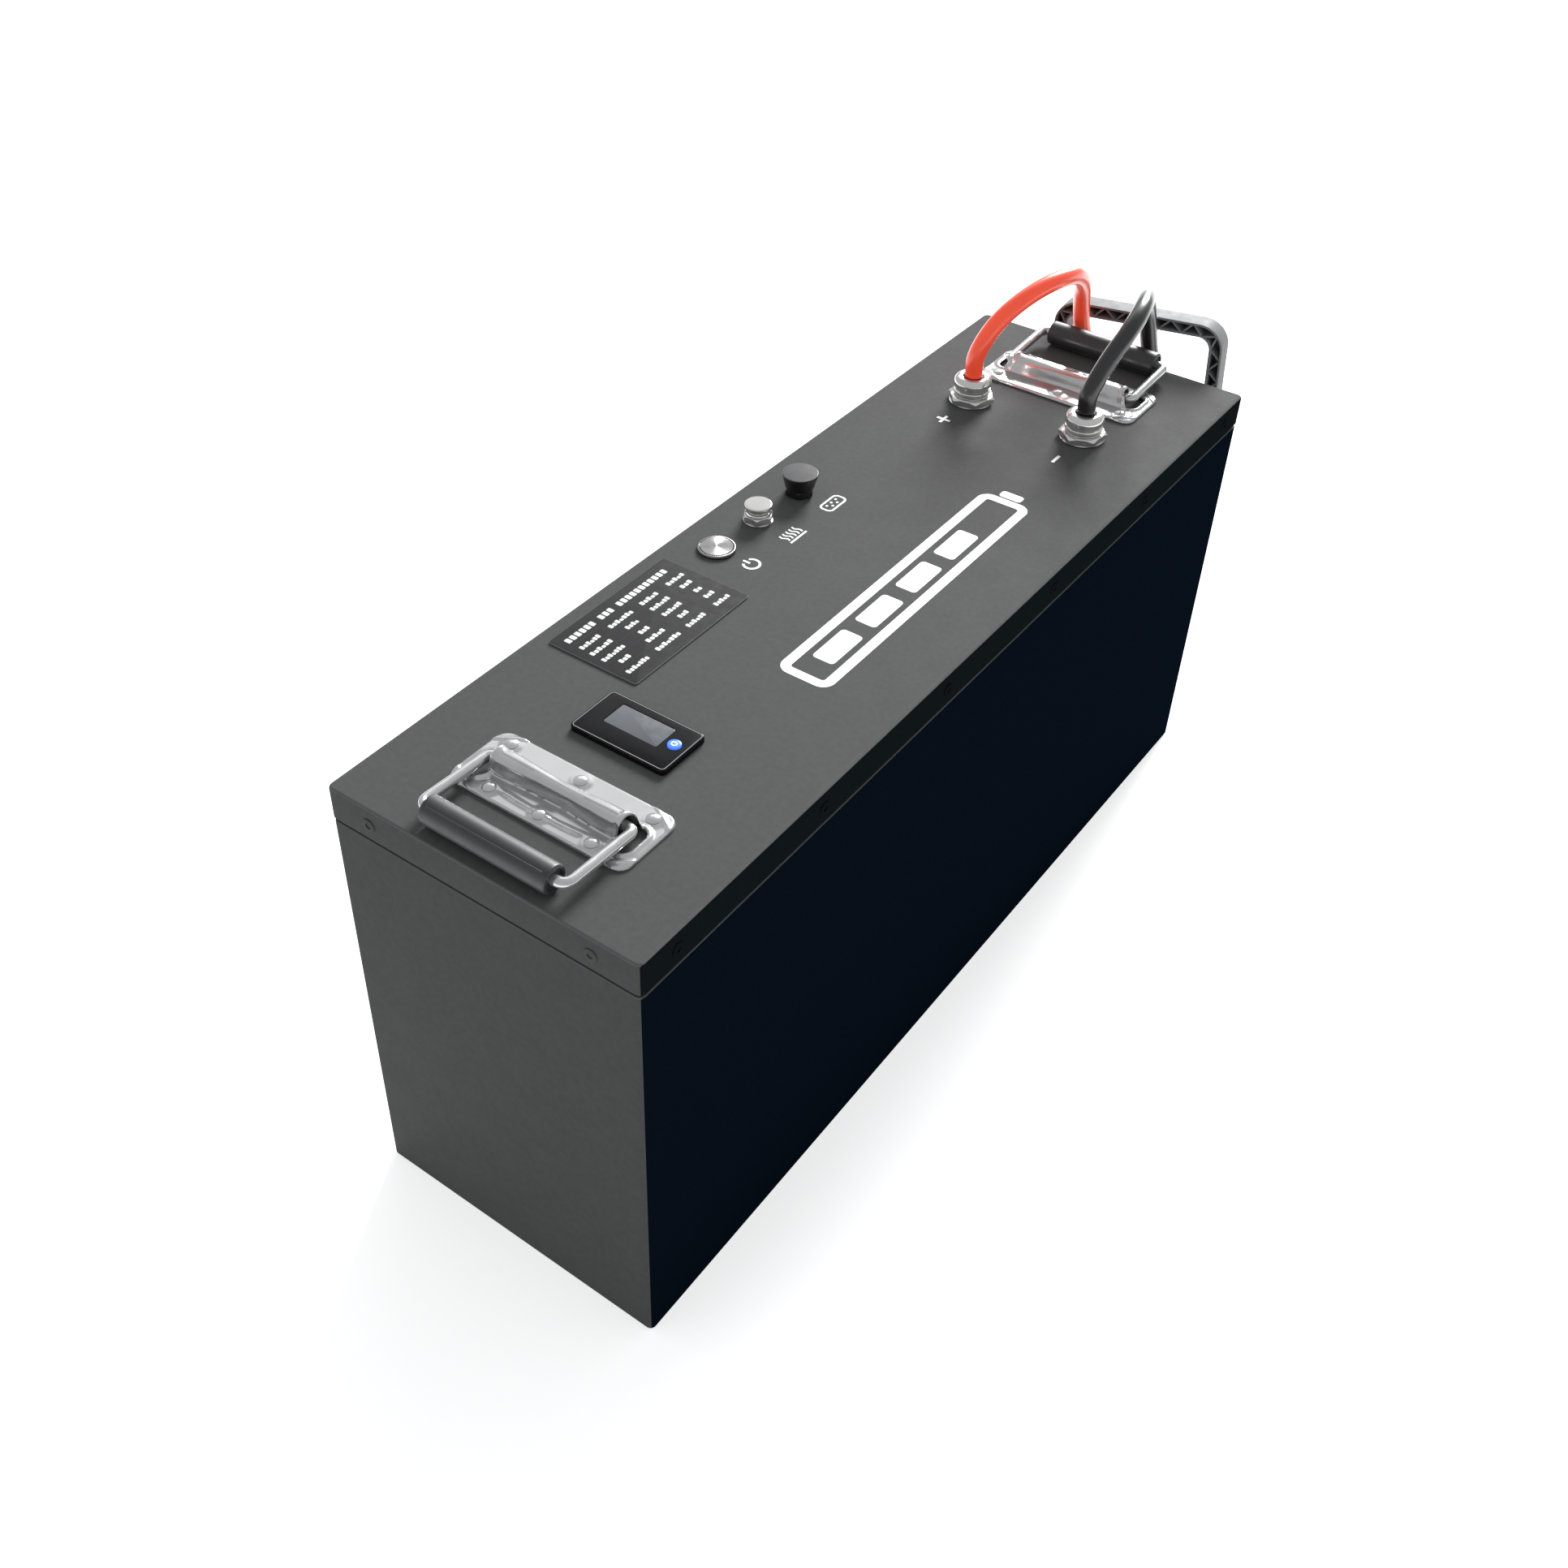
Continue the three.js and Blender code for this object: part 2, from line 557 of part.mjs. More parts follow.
function addDataPort() {
  const { x, y, hexAcross, tubeR, boreR, shankR, footR, capR, top } = PORT;
  const group = groupAt(x, y, HEIGHT);
  const hexTop = 5.2;
  const tubeTop = 10.8;
  const boreFloor = 1.5;
  const pin = { radius: 0.8, ring: 2.8, top: 7.2 };
  const shank = cylinder('z', shankR, -16, hexTop - 1, [0, 0], 20);
  const tube = cylinder('z', tubeR, hexTop - 1, tubeTop, [0, 0], 20);
  const bore = cylinder('z', boreR, boreFloor, tubeTop + OVERCUT, [0, 0], 20);
  const socket = cut(join(hexPrism(hexAcross, GAP, hexTop), shank, tube), bore);
  const pins = [45, 135, 225, 315].map((degrees) => {
    const angle = THREE.MathUtils.degToRad(degrees);
    const place = [pin.ring * Math.cos(angle), pin.ring * Math.sin(angle)];
    return cylinder('z', pin.radius, boreFloor - MELD, pin.top, place, 6);
  });
  add('data_port_socket', join(socket, ...pins), material.blackPlastic, group);
  const low = hexTop + GAP;
  const roof = top - 2.4;
  const inner = tubeR + GAP + 0.2;
  const profile = [
    [inner, low], [footR, low], [capR, top - 1.4], [capR, top - 0.5], [capR - 0.5, top], [0, top],
    [0, roof], [inner, roof], [inner, low],
  ];
  add('data_port_cap', turned(profile, 20), material.blackPlastic, group);
  add('data_port_nut', panelNut(19, shankR, 3), material.zinc, group);
}

// ---------------------------------------------------------------- cable glands and cables

function glandBody() {
  const { hexAcross, threadR, boreR, deep } = GLAND;
  const threadTop = 11.4;
  const thread = cylinder('z', threadR, -deep, threadTop, [0, 0], 20);
  const bore = cylinder('z', boreR, -deep - OVERCUT, threadTop + OVERCUT, [0, 0], 16);
  return cut(join(hexPrism(hexAcross, GAP, 5.2), thread), bore);
}

function glandNut() {
  const { threadR, boreR, sealR, nutR, top } = GLAND;
  const inner = threadR + GAP;
  const shelf = 11.7;
  const lip = top - 1.5;
  const profile = [
    [inner, 5.5], [nutR - 0.3, 6.3], [nutR - 0.3, 9], [nutR - 1.3, 10], [nutR - 0.1, 11.2],
    [nutR, 13.8], [nutR - 0.8, 15.8], [nutR - 4, top], [boreR, top], [boreR, lip], [sealR, lip],
    [sealR, shelf], [inner, shelf],
  ];
  return ringTurned(profile, 20);
}

function addGland(pole) {
  const [x, y] = GLAND_PLACE[pole];
  const group = groupAt(x, y, HEIGHT);
  add(`${pole}_gland_body`, glandBody(), material.nickel, group);
  add(`${pole}_gland_nut`, glandNut(), material.nickel, group);
  const sealInner = CABLE_R + GAP + 0.1;
  const sealOuter = GLAND.sealR - GAP;
  const sealProfile = [[sealInner, 12], [sealOuter, 12], [sealOuter, 16.6], [sealInner, 16.6]];
  const seal = ringTurned(sealProfile, 16);
  add(`${pole}_gland_seal`, seal, material.blackRubber, group);
  add(`${pole}_gland_locknut`, panelNut(GLAND.lockAcross, GLAND.threadR, 4.5), material.zinc, group);
}

// The clamped end of a cable: down through the gland and over to the battery manager.
function innerLead(pole) {
  const [x, y] = GLAND_PLACE[pole];
  const top = HEIGHT + GLAND.top;
  const endX = Math.sign(x) * INNER_LEAD.endX;
  const { bend, end, level } = INNER_LEAD;
  const corners = [[x, y, top], [x, y, level], [endX, end, level]];
  return bentRod(corners, [bend], CABLE_R - 0.1, 10, 5);
}

function addCables() {
  const group = groupAt(0, 0, HEIGHT);
  add('positive_cable', cable(POSITIVE_ROUTE), material.redSheath, group);
  add('negative_cable', cable(NEGATIVE_ROUTE), material.blackSheath, group);
  add('positive_inner_lead', innerLead('positive'), material.redSheath);
  add('negative_inner_lead', innerLead('negative'), material.blackSheath);
}

// ---------------------------------------------------------------- two-pole connector

function connectorHousing() {
  const { width, depth, shoulder, height, corner, poleX, barrelR } = HOUSING;
  const pieces = [slab(width, depth, corner, -height, -shoulder)];
  const cutters = [];
  for (const side of [-1, 1]) {
    pieces.push(cylinder('z', barrelR, -shoulder - 1, 0, [side * poleX, 0], 16));
    const middle = side * MOUTH.x;
    const halfWidth = MOUTH.width / 2;
    const halfDepth = MOUTH.depth / 2;
    const mouthTop = MOUTH.deep - height;
    const mouth = box(
      -halfWidth, halfWidth, -halfDepth, halfDepth, -height - OVERCUT, mouthTop,
    );
    cutters.push(mouth.translate(middle, 0, 0));
    const screwReach = [side * (width / 2 - D_SCREW.reach), side * (width / 2 + OVERCUT)];
    screwReach.sort((a, b) => a - b);
    cutters.push(cylinder('x', D_SCREW.holeR, ...screwReach, [0, D_SCREW.z], 10));
  }
  return cut(join(...pieces), ...cutters);
}

function connectorContact(side) {
  const middle = side * MOUTH.x;
  const low = CONTACT.tip - HOUSING.height;
  const high = MOUTH.deep - HOUSING.height - GAP;
  const halfWidth = CONTACT.width / 2;
  const near = CONTACT.y - CONTACT.thick / 2;
  const far = CONTACT.y + CONTACT.thick / 2;
  const blade = box(middle - halfWidth, middle + halfWidth, near, far, low, high);
  const foot = box(
    middle - halfWidth, middle + halfWidth, 0, CONTACT.y, high - CONTACT.thick, high,
  );
  return join(blade, foot);
}

// The outline of the pull handle in its own plane, inset from the outer edge by a margin.
function handleOutline(margin, foot) {
  const { width, top, band, outerR } = D_HANDLE;
  const outer = width / 2 - margin;
  const inner = width / 2 - band + margin;
  const crown = top - margin;
  const bridge = top - band + margin;
  const bigR = outerR - margin;
  const smallR = outerR - band + margin;
  const shape = new THREE.Shape();
  shape.moveTo(outer, foot);
  shape.absarc(outer - bigR, crown - bigR, bigR, 0, Math.PI / 2);
  shape.absarc(bigR - outer, crown - bigR, bigR, Math.PI / 2, Math.PI);
  shape.lineTo(-outer, foot);
  shape.lineTo(-inner, foot);
  shape.absarc(smallR - inner, bridge - smallR, smallR, Math.PI, Math.PI / 2, true);
  shape.absarc(inner - smallR, bridge - smallR, smallR, Math.PI / 2, 0, true);
  shape.lineTo(inner, foot);
  return shape;
}

// Extrudes an upright outline, drawn in X and Z, from one depth to another along Y.
function upright(shape, nearY, farY) {
  const options = { depth: farY - nearY, bevelEnabled: false, curveSegments: 3 };
  return new THREE.ExtrudeGeometry(shape, options).rotateX(Math.PI / 2).translate(0, farY, 0);
}

// One straight rib between two points of the handle's channel.
function rib(from, to, nearY, farY) {
  const [x0, z0] = from;
  const [x1, z1] = to;
  const run = Math.hypot(x1 - x0, z1 - z0);
  const bar = box(-run / 2, run / 2, nearY, farY, -0.7, 0.7);
  return bar.rotateY(-Math.atan2(z1 - z0, x1 - x0)).translate((x0 + x1) / 2, 0, (z0 + z1) / 2);
}

function handleRibs() {
  const { width, top, band, outerR, depth } = D_HANDLE;
  const near = 0.6 - depth / 2;
  const far = depth / 2 - 2.5;
  const pitch = 13;
  const ribs = [];
  const outerX = width / 2 - 1;
  const innerX = width / 2 - band + 1;
  for (let k = 0; k * pitch < top - outerR - 8; k += 1) {
    const zLow = -8 + k * pitch;
    const flip = k % 2 === 0;
    const from = flip ? outerX : innerX;
    const to = flip ? innerX : outerX;
    ribs.push(rib([from, zLow], [to, zLow + pitch], near, far));
    ribs.push(rib([-from, zLow], [-to, zLow + pitch], near, far));
  }
  const barLow = top - band + 1;
  const barHigh = top - 1;
  for (let x = outerR - width / 2; x + pitch <= width / 2 - outerR + 1; x += pitch) {
    const flip = ribs.length % 2 === 0;
    ribs.push(rib([x, flip ? barLow : barHigh], [x + pitch, flip ? barHigh : barLow], near, far));
  }
  return ribs;
}

function connectorHandle() {
  const { depth, foot, wall, width } = D_HANDLE;
  const tabTop = -HOUSING.shoulder;
  const solid = upright(handleOutline(0, foot), -depth / 2, depth / 2);
  const channel = upright(handleOutline(wall, tabTop), -depth / 2 - OVERCUT, depth / 2 - 3);
  const holes = [-1, 1].map((side) => {
    const reach = [side * (width / 2 - 15), side * (width / 2 + OVERCUT)].sort((a, b) => a - b);
    return cylinder('x', D_SCREW.holeR, ...reach, [0, D_SCREW.z], 10);
  });
  return cut(join(cut(solid, channel), ...handleRibs()), ...holes);
}

function connectorHandleScrew(side) {
  const face = D_HANDLE.width / 2 + GAP;
  const inner = HOUSING.width / 2 - D_SCREW.reach + GAP;
  const shaft = [side * inner, side * (face + 0.5)].sort((a, b) => a - b);
  const head = [side * face, side * (face + D_SCREW.headT)].sort((a, b) => a - b);
  const centre = [0, D_SCREW.z];
  return join(
    cylinder('x', D_SCREW.shaftR, ...shaft, centre, 8),
    cylinder('x', D_SCREW.headR, ...head, centre, 12),
  );
}

function addConnector() {
  const yawed = groupAt(CONNECTOR.x, CONNECTOR.y, HEIGHT - CONNECTOR.below);
  yawed.rotation.z = THREE.MathUtils.degToRad(CONNECTOR.yaw);
  const group = groupAt(0, 0, 0, yawed);
  group.rotation.y = -THREE.MathUtils.degToRad(CONNECTOR.tip);
  add('connector_housing', connectorHousing(), material.greyPlastic, group);
  add('connector_positive_contact', connectorContact(-1), material.copper, group);
  add('connector_negative_contact', connectorContact(1), material.copper, group);
  add('connector_handle', connectorHandle(), material.greyPlastic, group);
  add('connector_handle_screw_left', connectorHandleScrew(-1), material.zinc, group);
  add('connector_handle_screw_right', connectorHandleScrew(1), material.zinc, group);
}

// ---------------------------------------------------------------- cells and battery manager

function cell() {
  const { width, thick, body, floor } = CELL;
  const can = slab(width, thick, 3, floor, floor + body);
  const top = floor + body;
  const post = (x) => cylinder('z', CELL_POST.radius, top - 1, top + CELL_POST.height, [x, 0], 12);
  const vent = cylinder('z', CELL_VENT.radius, top - 1, top + CELL_VENT.height, [0, 0], 12);
  return join(can, post(-CELL_POST.x), post(CELL_POST.x), vent);
}

function clampFrame() {
  const { width, thick, height } = END_PLATE;
  const stack = (CELL.count * CELL.pitch) / 2 + GAP;
  const pieces = [];
  const low = CELL.floor;
  for (const side of [-1, 1]) {
    const plateY = [side * stack, side * (stack + thick)].sort((a, b) => a - b);
    const outer = width / 2 + STRAP.thick;
    pieces.push(box(-outer, outer, ...plateY, low, low + height));
    const strapX = [side * (CELL.width / 2 + GAP), side * outer].sort((a, b) => a - b);
    for (const level of STRAP.levels) {
      pieces.push(box(...strapX, -stack - 1, stack + 1, level, level + STRAP.height));
    }
  }
  return join(...pieces);
}

// Insulating tray over the cell posts with the links that put the cells in series.
function busbarCarrier() {
  const { width, length, thick, level } = CARRIER;
  const pieces = [slab(width, length, 3, level, level + thick)];
  for (let i = 0; i < CELL.count - 1; i += 1) {
    const side = i % 2 === 0 ? -1 : 1;
    const y = (i + 1 - CELL.count / 2) * CELL.pitch;
    const x = side * CELL_POST.x;
    const low = level + thick - MELD;
    const link = box(
      -BUSBAR.width / 2, BUSBAR.width / 2, -BUSBAR.length / 2, BUSBAR.length / 2,
      low, low + BUSBAR.thick,
    );
    pieces.push(link.translate(x, y, 0));
  }
  return join(...pieces);
}

function batteryManager() {
  const { width, length, low, high, fins } = BMS;
  const pitch = width / fins;
  const grooves = [];
  for (let i = 1; i < fins; i += 1) {
    const x = -width / 2 + i * pitch;
    const groove = box(
      -BMS.groove / 2, BMS.groove / 2, -length / 2 - OVERCUT, length / 2 + OVERCUT,
      high - BMS.finHeight, high + OVERCUT,
    );
    grooves.push(groove.translate(x, 0, 0));
  }
  return cut(slab(width, length, 3, low, high), ...grooves);
}

function addInside() {
  for (let i = 0; i < CELL.count; i += 1) {
    const mesh = add(`cell_${i + 1}`, cell(), material.cellWrap);
    mesh.position.y = (i - (CELL.count - 1) / 2) * CELL.pitch;
    mesh.rotation.z = i % 2 === 0 ? 0 : Math.PI;
  }
  const padHigh = CELL.floor - GAP;
  const pad = slab(CELL.width, BASE_PAD_LENGTH, 3, BODY.sheet + GAP, padHigh);
  add('cell_base_pad', pad, material.blackRubber);
  add('cell_clamp_frame', clampFrame(), material.aluminium);
  add('busbar_carrier', busbarCarrier(), material.blackPlastic);
  add('battery_manager', batteryManager(), material.aluminium);
}

// ---------------------------------------------------------------- assembly

addShell();
addHandle('front', -HANDLE_PIVOT_Y, Math.PI);
addHandle('rear', HANDLE_PIVOT_Y, 0);
addMeterAndLabel();
addSwitch();
addReliefValve();
addDataPort();
addGland('positive');
addGland('negative');
addCables();
addConnector();
addInside();

export default battery;
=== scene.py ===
import math

import bpy
from mathutils import Euler, Matrix, Vector


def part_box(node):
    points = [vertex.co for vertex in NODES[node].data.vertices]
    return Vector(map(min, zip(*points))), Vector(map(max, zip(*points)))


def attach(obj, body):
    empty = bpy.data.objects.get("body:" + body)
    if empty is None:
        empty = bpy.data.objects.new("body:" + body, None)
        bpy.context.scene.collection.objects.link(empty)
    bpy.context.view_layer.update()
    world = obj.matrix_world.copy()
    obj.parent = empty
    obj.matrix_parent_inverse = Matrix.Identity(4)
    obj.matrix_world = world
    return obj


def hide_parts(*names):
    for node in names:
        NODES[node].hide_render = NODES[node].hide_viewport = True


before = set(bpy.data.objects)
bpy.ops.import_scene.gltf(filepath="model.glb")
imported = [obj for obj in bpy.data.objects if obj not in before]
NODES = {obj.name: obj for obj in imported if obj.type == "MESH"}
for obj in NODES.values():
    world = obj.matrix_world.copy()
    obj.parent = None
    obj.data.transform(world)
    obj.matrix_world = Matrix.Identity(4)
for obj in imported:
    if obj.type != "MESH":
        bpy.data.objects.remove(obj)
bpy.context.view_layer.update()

MM = 0.001


# ---- places taken from the frame

def middle(node):
    """The middle of a CAD node's box, in metres."""
    low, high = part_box(node)
    return (low + high) / 2


LID_LOW, LID_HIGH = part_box("lid")
CASE_LOW, CASE_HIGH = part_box("case_body")
LID_TOP = LID_HIGH.z
LID_WIDTH = (LID_HIGH.x - LID_LOW.x) / MM
LID_LENGTH = (LID_HIGH.y - LID_LOW.y) / MM


def on_lid(node):
    """The point of the lid's top face under the middle of a node."""
    centre = middle(node)
    return Vector((centre.x, centre.y, LID_TOP))


# ---- camera

CAMERA_PLACE = (0.43387, -0.71957, 0.86437)
CAMERA_ANGLES = (36.344, 39.782, 0.621)  # azimuth, elevation and roll, in degrees
CAMERA_SETTINGS = {
    "sensor_width": 36, "lens": 39.48, "shift_x": 0.0395, "shift_y": -0.0361,
    "clip_start": 0.01, "clip_end": 30,
}


def new_object(name, data):
    """A new object, linked to the scene."""
    obj = bpy.data.objects.new(name, data)
    bpy.context.scene.collection.objects.link(obj)
    return obj


def set_all(target, settings):
    """Sets several properties of a Blender data block."""
    for key, value in settings.items():
        setattr(target, key, value)


def add_camera():
    """The camera, at the photograph's viewing angle."""
    azimuth, elevation, roll = (math.radians(angle) for angle in CAMERA_ANGLES)
    data = bpy.data.cameras.new("camera")
    set_all(data, CAMERA_SETTINGS)
    camera = new_object("camera", data)
    turn = Matrix.Rotation(azimuth, 4, "Z") @ Matrix.Rotation(math.pi / 2 - elevation, 4, "X")
    camera.matrix_world = Matrix.Translation(CAMERA_PLACE) @ turn @ Matrix.Rotation(roll, 4, "Z")
    bpy.context.scene.camera = camera


# ---- materials

class Look:
    """A material being built: its shader, its texture space and short ways to add nodes.

    Sockets are named with _ for each space. One takes a number, or another node's output.
    """

    def __init__(self, name, colour, roughness, metallic=0.0, **sockets):
        self.name = name
        self.material = bpy.data.materials.new(name)
        self.material.use_nodes = True
        self.material.diffuse_color = (*colour, 1)
        self.tree = self.material.node_tree
        self.shader = self.tree.nodes["Principled BSDF"]
        self.colour = colour
        self.fill(self.shader, Base_Color=(*colour, 1), Roughness=roughness, Metallic=metallic,
                  **sockets)
        self.place = self.node("TexCoord").outputs["Object"]

    def fill(self, node, **sockets):
        for label, value in sockets.items():
            socket = node.inputs[label.replace("_", " ")]
            if isinstance(value, bpy.types.NodeSocket):
                self.tree.links.new(value, socket)
            else:
                socket.default_value = value

    def node(self, kind, **sockets):
        node = self.tree.nodes.new(f"ShaderNode{kind}")
        self.fill(node, **sockets)
        return node

    def noise(self, scale, detail=2.0, stretch=None):
        """Soft cloudy noise, stretched along the piece's axes if asked."""
        place = self.place
        if stretch is not None:
            place = self.node("Mapping", Scale=stretch, Vector=place).outputs["Vector"]
        return self.node("TexNoise", Scale=scale, Detail=detail, Vector=place).outputs["Fac"]

    def cells(self, scale):
        """Small rounded cells."""
        return self.node("TexVoronoi", Scale=scale, Vector=self.place).outputs["Distance"]

    def rings(self, scale):
        """Fine turning marks round the piece's own Z axis."""
        node = self.node("TexWave", Scale=scale, Distortion=1.2, Detail=2.0, Vector=self.place)
        node.wave_type = "RINGS"
        node.rings_direction = "Z"
        return node.outputs["Fac"]

    def between(self, source, low, high):
        """The source's middle range spread from low to high."""
        node = self.node("MapRange", From_Min=0.3, From_Max=0.7, To_Min=low, To_Max=high,
                         Value=source)
        return node.outputs["Result"]

    def vary_colour(self, source, amount):
        """The base colour, a little darker and lighter where the source says."""
        node = self.node("Mix")
        node.data_type = "RGBA"
        dark = [c * (1 - amount) for c in self.colour]
        light = [min(1, c * (1 + amount)) for c in self.colour]
        for socket, value in ((node.inputs[6], dark), (node.inputs[7], light)):
            socket.default_value = (*value, 1)
        self.fill(node, Factor=self.between(source, 0, 1))
        self.fill(self.shader, Base_Color=node.outputs[2])

    def vary_roughness(self, source, low, high):
        self.fill(self.shader, Roughness=self.between(source, low, high))

    def bump(self, *layers):
        """Layers of (source, depth in millimetres), each on top of the one before."""
        below = {}
        for source, depth in layers:
            node = self.node("Bump", Distance=depth * MM, Height=source, **below)
            below = {"Normal": node.outputs["Normal"]}
        self.fill(self.shader, **below)


def powder_coat(name, colour, specular):
    """Fine matte powder coat: a sandy grain over a shallow orange peel."""
    look = Look(name, colour, 0.66, Specular_IOR_Level=specular)
    look.vary_colour(look.noise(300, 3), 0.05)
    look.vary_roughness(look.noise(45, 3), 0.62, 0.7)
    look.bump((look.noise(420, 2), 0.02), (look.noise(1900, 1), 0.006))
    return look


def polished_metal(name, colour, low, high, waviness, metallic=1.0):
    """Plated metal with faint ripples from stamping and a few dull smears."""
    look = Look(name, colour, low, metallic)
    look.vary_colour(look.noise(60, 3), 0.04)
    look.vary_roughness(look.noise(110, 4), low, high)
    look.bump((look.noise(95, 1), waviness), (look.noise(900, 2), 0.0015))
    return look


def spun_metal(name, colour):
    """Turned metal with fine concentric marks, which fan the light out from the centre."""
    look = Look(name, colour, 0.24, 1.0, Anisotropic=0.85)
    tangent = look.node("Tangent")
    tangent.direction_type = "RADIAL"
    tangent.axis = "Z"
    look.fill(look.shader, Tangent=tangent.outputs["Tangent"])
    look.vary_roughness(look.noise(300, 3), 0.2, 0.3)
    look.bump((look.rings(260), 0.004))
    return look


def dull_metal(name, colour, roughness, stretch=None):
    """Unpolished metal, with its grain drawn out along one axis if asked."""
    look = Look(name, colour, roughness, 1.0)
    look.vary_colour(look.noise(70, 4), 0.12)
    look.vary_roughness(look.noise(220, 3), roughness - 0.06, roughness + 0.08)
    look.bump((look.noise(700, 3, stretch), 0.008))
    return look


def moulded(name, colour, roughness, grain=0.01, **sockets):
    """Moulded plastic or rubber with a fine eroded grain."""
    look = Look(name, colour, roughness, **sockets)
    look.vary_colour(look.noise(35, 3), 0.07)
    look.vary_roughness(look.noise(160, 3), roughness - 0.04, roughness + 0.06)
    look.bump((look.cells(1300), grain), (look.noise(260, 2), grain))
    return look


def sheath(name, colour, coat, painted_glow=0.0):
    """Soft, glossy cable sheath, slightly uneven over the strands inside; a glow, if asked, is
    painted light.
    """
    look = Look(name, colour, 0.34, Coat_Weight=coat, Coat_Roughness=0.24, Specular_IOR_Level=0.15,
                Emission_Color=(*colour, 1), Emission_Strength=painted_glow)
    look.vary_colour(look.noise(24, 2), 0.06)
    look.vary_roughness(look.noise(90, 3), 0.28, 0.42)
    look.bump((look.noise(130, 2), 0.04), (look.noise(900, 2), 0.004))
    return look


def glossy_face(name, colour, roughness, **sockets):
    """Smooth glass or glossy plastic with faint smears."""
    look = Look(name, colour, roughness, **sockets)
    look.vary_colour(look.noise(50, 2), 0.05)
    look.vary_roughness(look.noise(200, 4), roughness * 0.8, roughness * 1.3)
    look.bump((look.noise(500, 2), 0.001))
    return look


LOOKS = {look.name: look.material for look in (
    powder_coat("powder_coat", (0.081, 0.0813, 0.0818), 0.018),
    # The next four coats copy the powder coat: darker on the ends as painted shade, lighter on the
    # rounded edges as a painted highlight, and near black on the long sides of the case and of the
    # lid's skirt as painted shade.
    powder_coat("shaded_end_coat", (0.056, 0.0565, 0.057), 0.03),
    powder_coat("highlight_edge_coat", (0.1, 0.1005, 0.101), 0.03),
    powder_coat("case_coat", (0.0022, 0.0044, 0.0082), 0.0),
    powder_coat("shaded_skirt_side_coat", (0.0048, 0.0068, 0.0076), 0.0),
    polished_metal("chrome", (0.54, 0.54, 0.542), 0.13, 0.21, 0.02, metallic=0.74),
    # A darker copy of the chrome for level faces: painted shade that dims their mirror of the
    # softbox.
    polished_metal("shaded_level_chrome", (0.4, 0.4, 0.402), 0.14, 0.2, 0.01, metallic=0.7),
    polished_metal("nickel", (0.66, 0.652, 0.64), 0.08, 0.14, 0.006, metallic=0.8),
    # A darker copy of the nickel for level faces: painted shade that dims their mirror of the
    # softbox.
    polished_metal("shaded_level_nickel", (0.38, 0.377, 0.37), 0.07, 0.12, 0.004, metallic=0.68),
    spun_metal("spun_nickel", (0.27, 0.268, 0.266)),
    dull_metal("zinc", (0.5, 0.51, 0.52), 0.36),
    dull_metal("aluminium", (0.55, 0.56, 0.58), 0.4, (1, 0.05, 1)),
    dull_metal("copper", (0.62, 0.27, 0.12), 0.3, (1, 1, 0.08)),
    moulded("grip_rubber", (0.028, 0.029, 0.031), 0.46, 0.012),
    moulded("black_rubber", (0.01, 0.01, 0.011), 0.62, 0.015),
    moulded("black_plastic", (0.008, 0.008, 0.009), 0.28, 0.004),
    # A lighter grey for the black cap's level top, as a painted sheen.
    moulded("cap_top_sheen", (0.066, 0.066, 0.068), 0.55, 0.006, Specular_IOR_Level=0.1),
    moulded("grey_plastic", (0.185, 0.193, 0.197), 0.58, 0.012, Specular_IOR_Level=0.12),
    moulded("cell_wrap", (0.03, 0.11, 0.33), 0.3, 0.004),
    glossy_face("meter_face", (0.006, 0.006, 0.0068), 0.16, Specular_IOR_Level=0.1),
    glossy_face("display_glass", (0.09, 0.096, 0.108), 0.2, Specular_IOR_Level=0.25),
    glossy_face(
        "button_blue", (0.03, 0.12, 0.7), 0.25,
        Emission_Color=(0.05, 0.16, 1, 1), Emission_Strength=0.9,
    ),
    moulded("label_film", (0.028, 0.028, 0.029), 0.6, 0.003, Specular_IOR_Level=0.05),
    moulded("label_line", (0.05, 0.05, 0.053), 0.6, 0.002, Specular_IOR_Level=0.05),
    # A pale grey for edges, as a painted highlight.
    moulded("edge_highlight", (0.22, 0.22, 0.225), 0.5, 0.002, Specular_IOR_Level=0.1),
    glossy_face(
        "lit_mark", (0.8, 0.85, 1), 0.3, Emission_Color=(0.75, 0.85, 1, 1), Emission_Strength=0.9,
    ),
    moulded("print_white", (0.68, 0.68, 0.68), 0.5, 0.004),
    moulded("label_ink", (0.6, 0.6, 0.6), 0.55, 0.002, Specular_IOR_Level=0.1),
    # The red sheath glows a little: painted light that brightens it.
    sheath("red_sheath", (0.95, 0.08, 0.03), 1.0, painted_glow=0.16),
    sheath("black_sheath", (0.007, 0.007, 0.008), 1.0),
)}


# ---- shapes, in millimetres

def ring(radius, z, sides, centre=(0, 0)):
    """A circle of points at one height."""
    turn = 2 * math.pi / sides
    return [
        (centre[0] + radius * math.cos(i * turn), centre[1] + radius * math.sin(i * turn), z)
        for i in range(sides)
    ]


def arc(radius, first, last, steps=5):
    """Points of an arc round the origin, between two angles in degrees."""
    return [
        (radius * math.cos(math.radians(a)), radius * math.sin(math.radians(a)))
        for a in (first + (last - first) * k / steps for k in range(steps + 1))
    ]


def rounded_rectangle(width, length, corner, z, steps=6):
    """A ring round a rectangle with rounded corners, anticlockwise from above."""
    corner = max(corner, 0.05)
    points = []
    for quarter, (sx, sy) in enumerate(((1, 1), (-1, 1), (-1, -1), (1, -1))):
        for i in range(steps + 1):
            angle = math.pi / 2 * (quarter + i / steps)
            x = sx * (width / 2 - corner) + corner * math.cos(angle)
            y = sy * (length / 2 - corner) + corner * math.sin(angle)
            points.append((x, y, z))
    return points


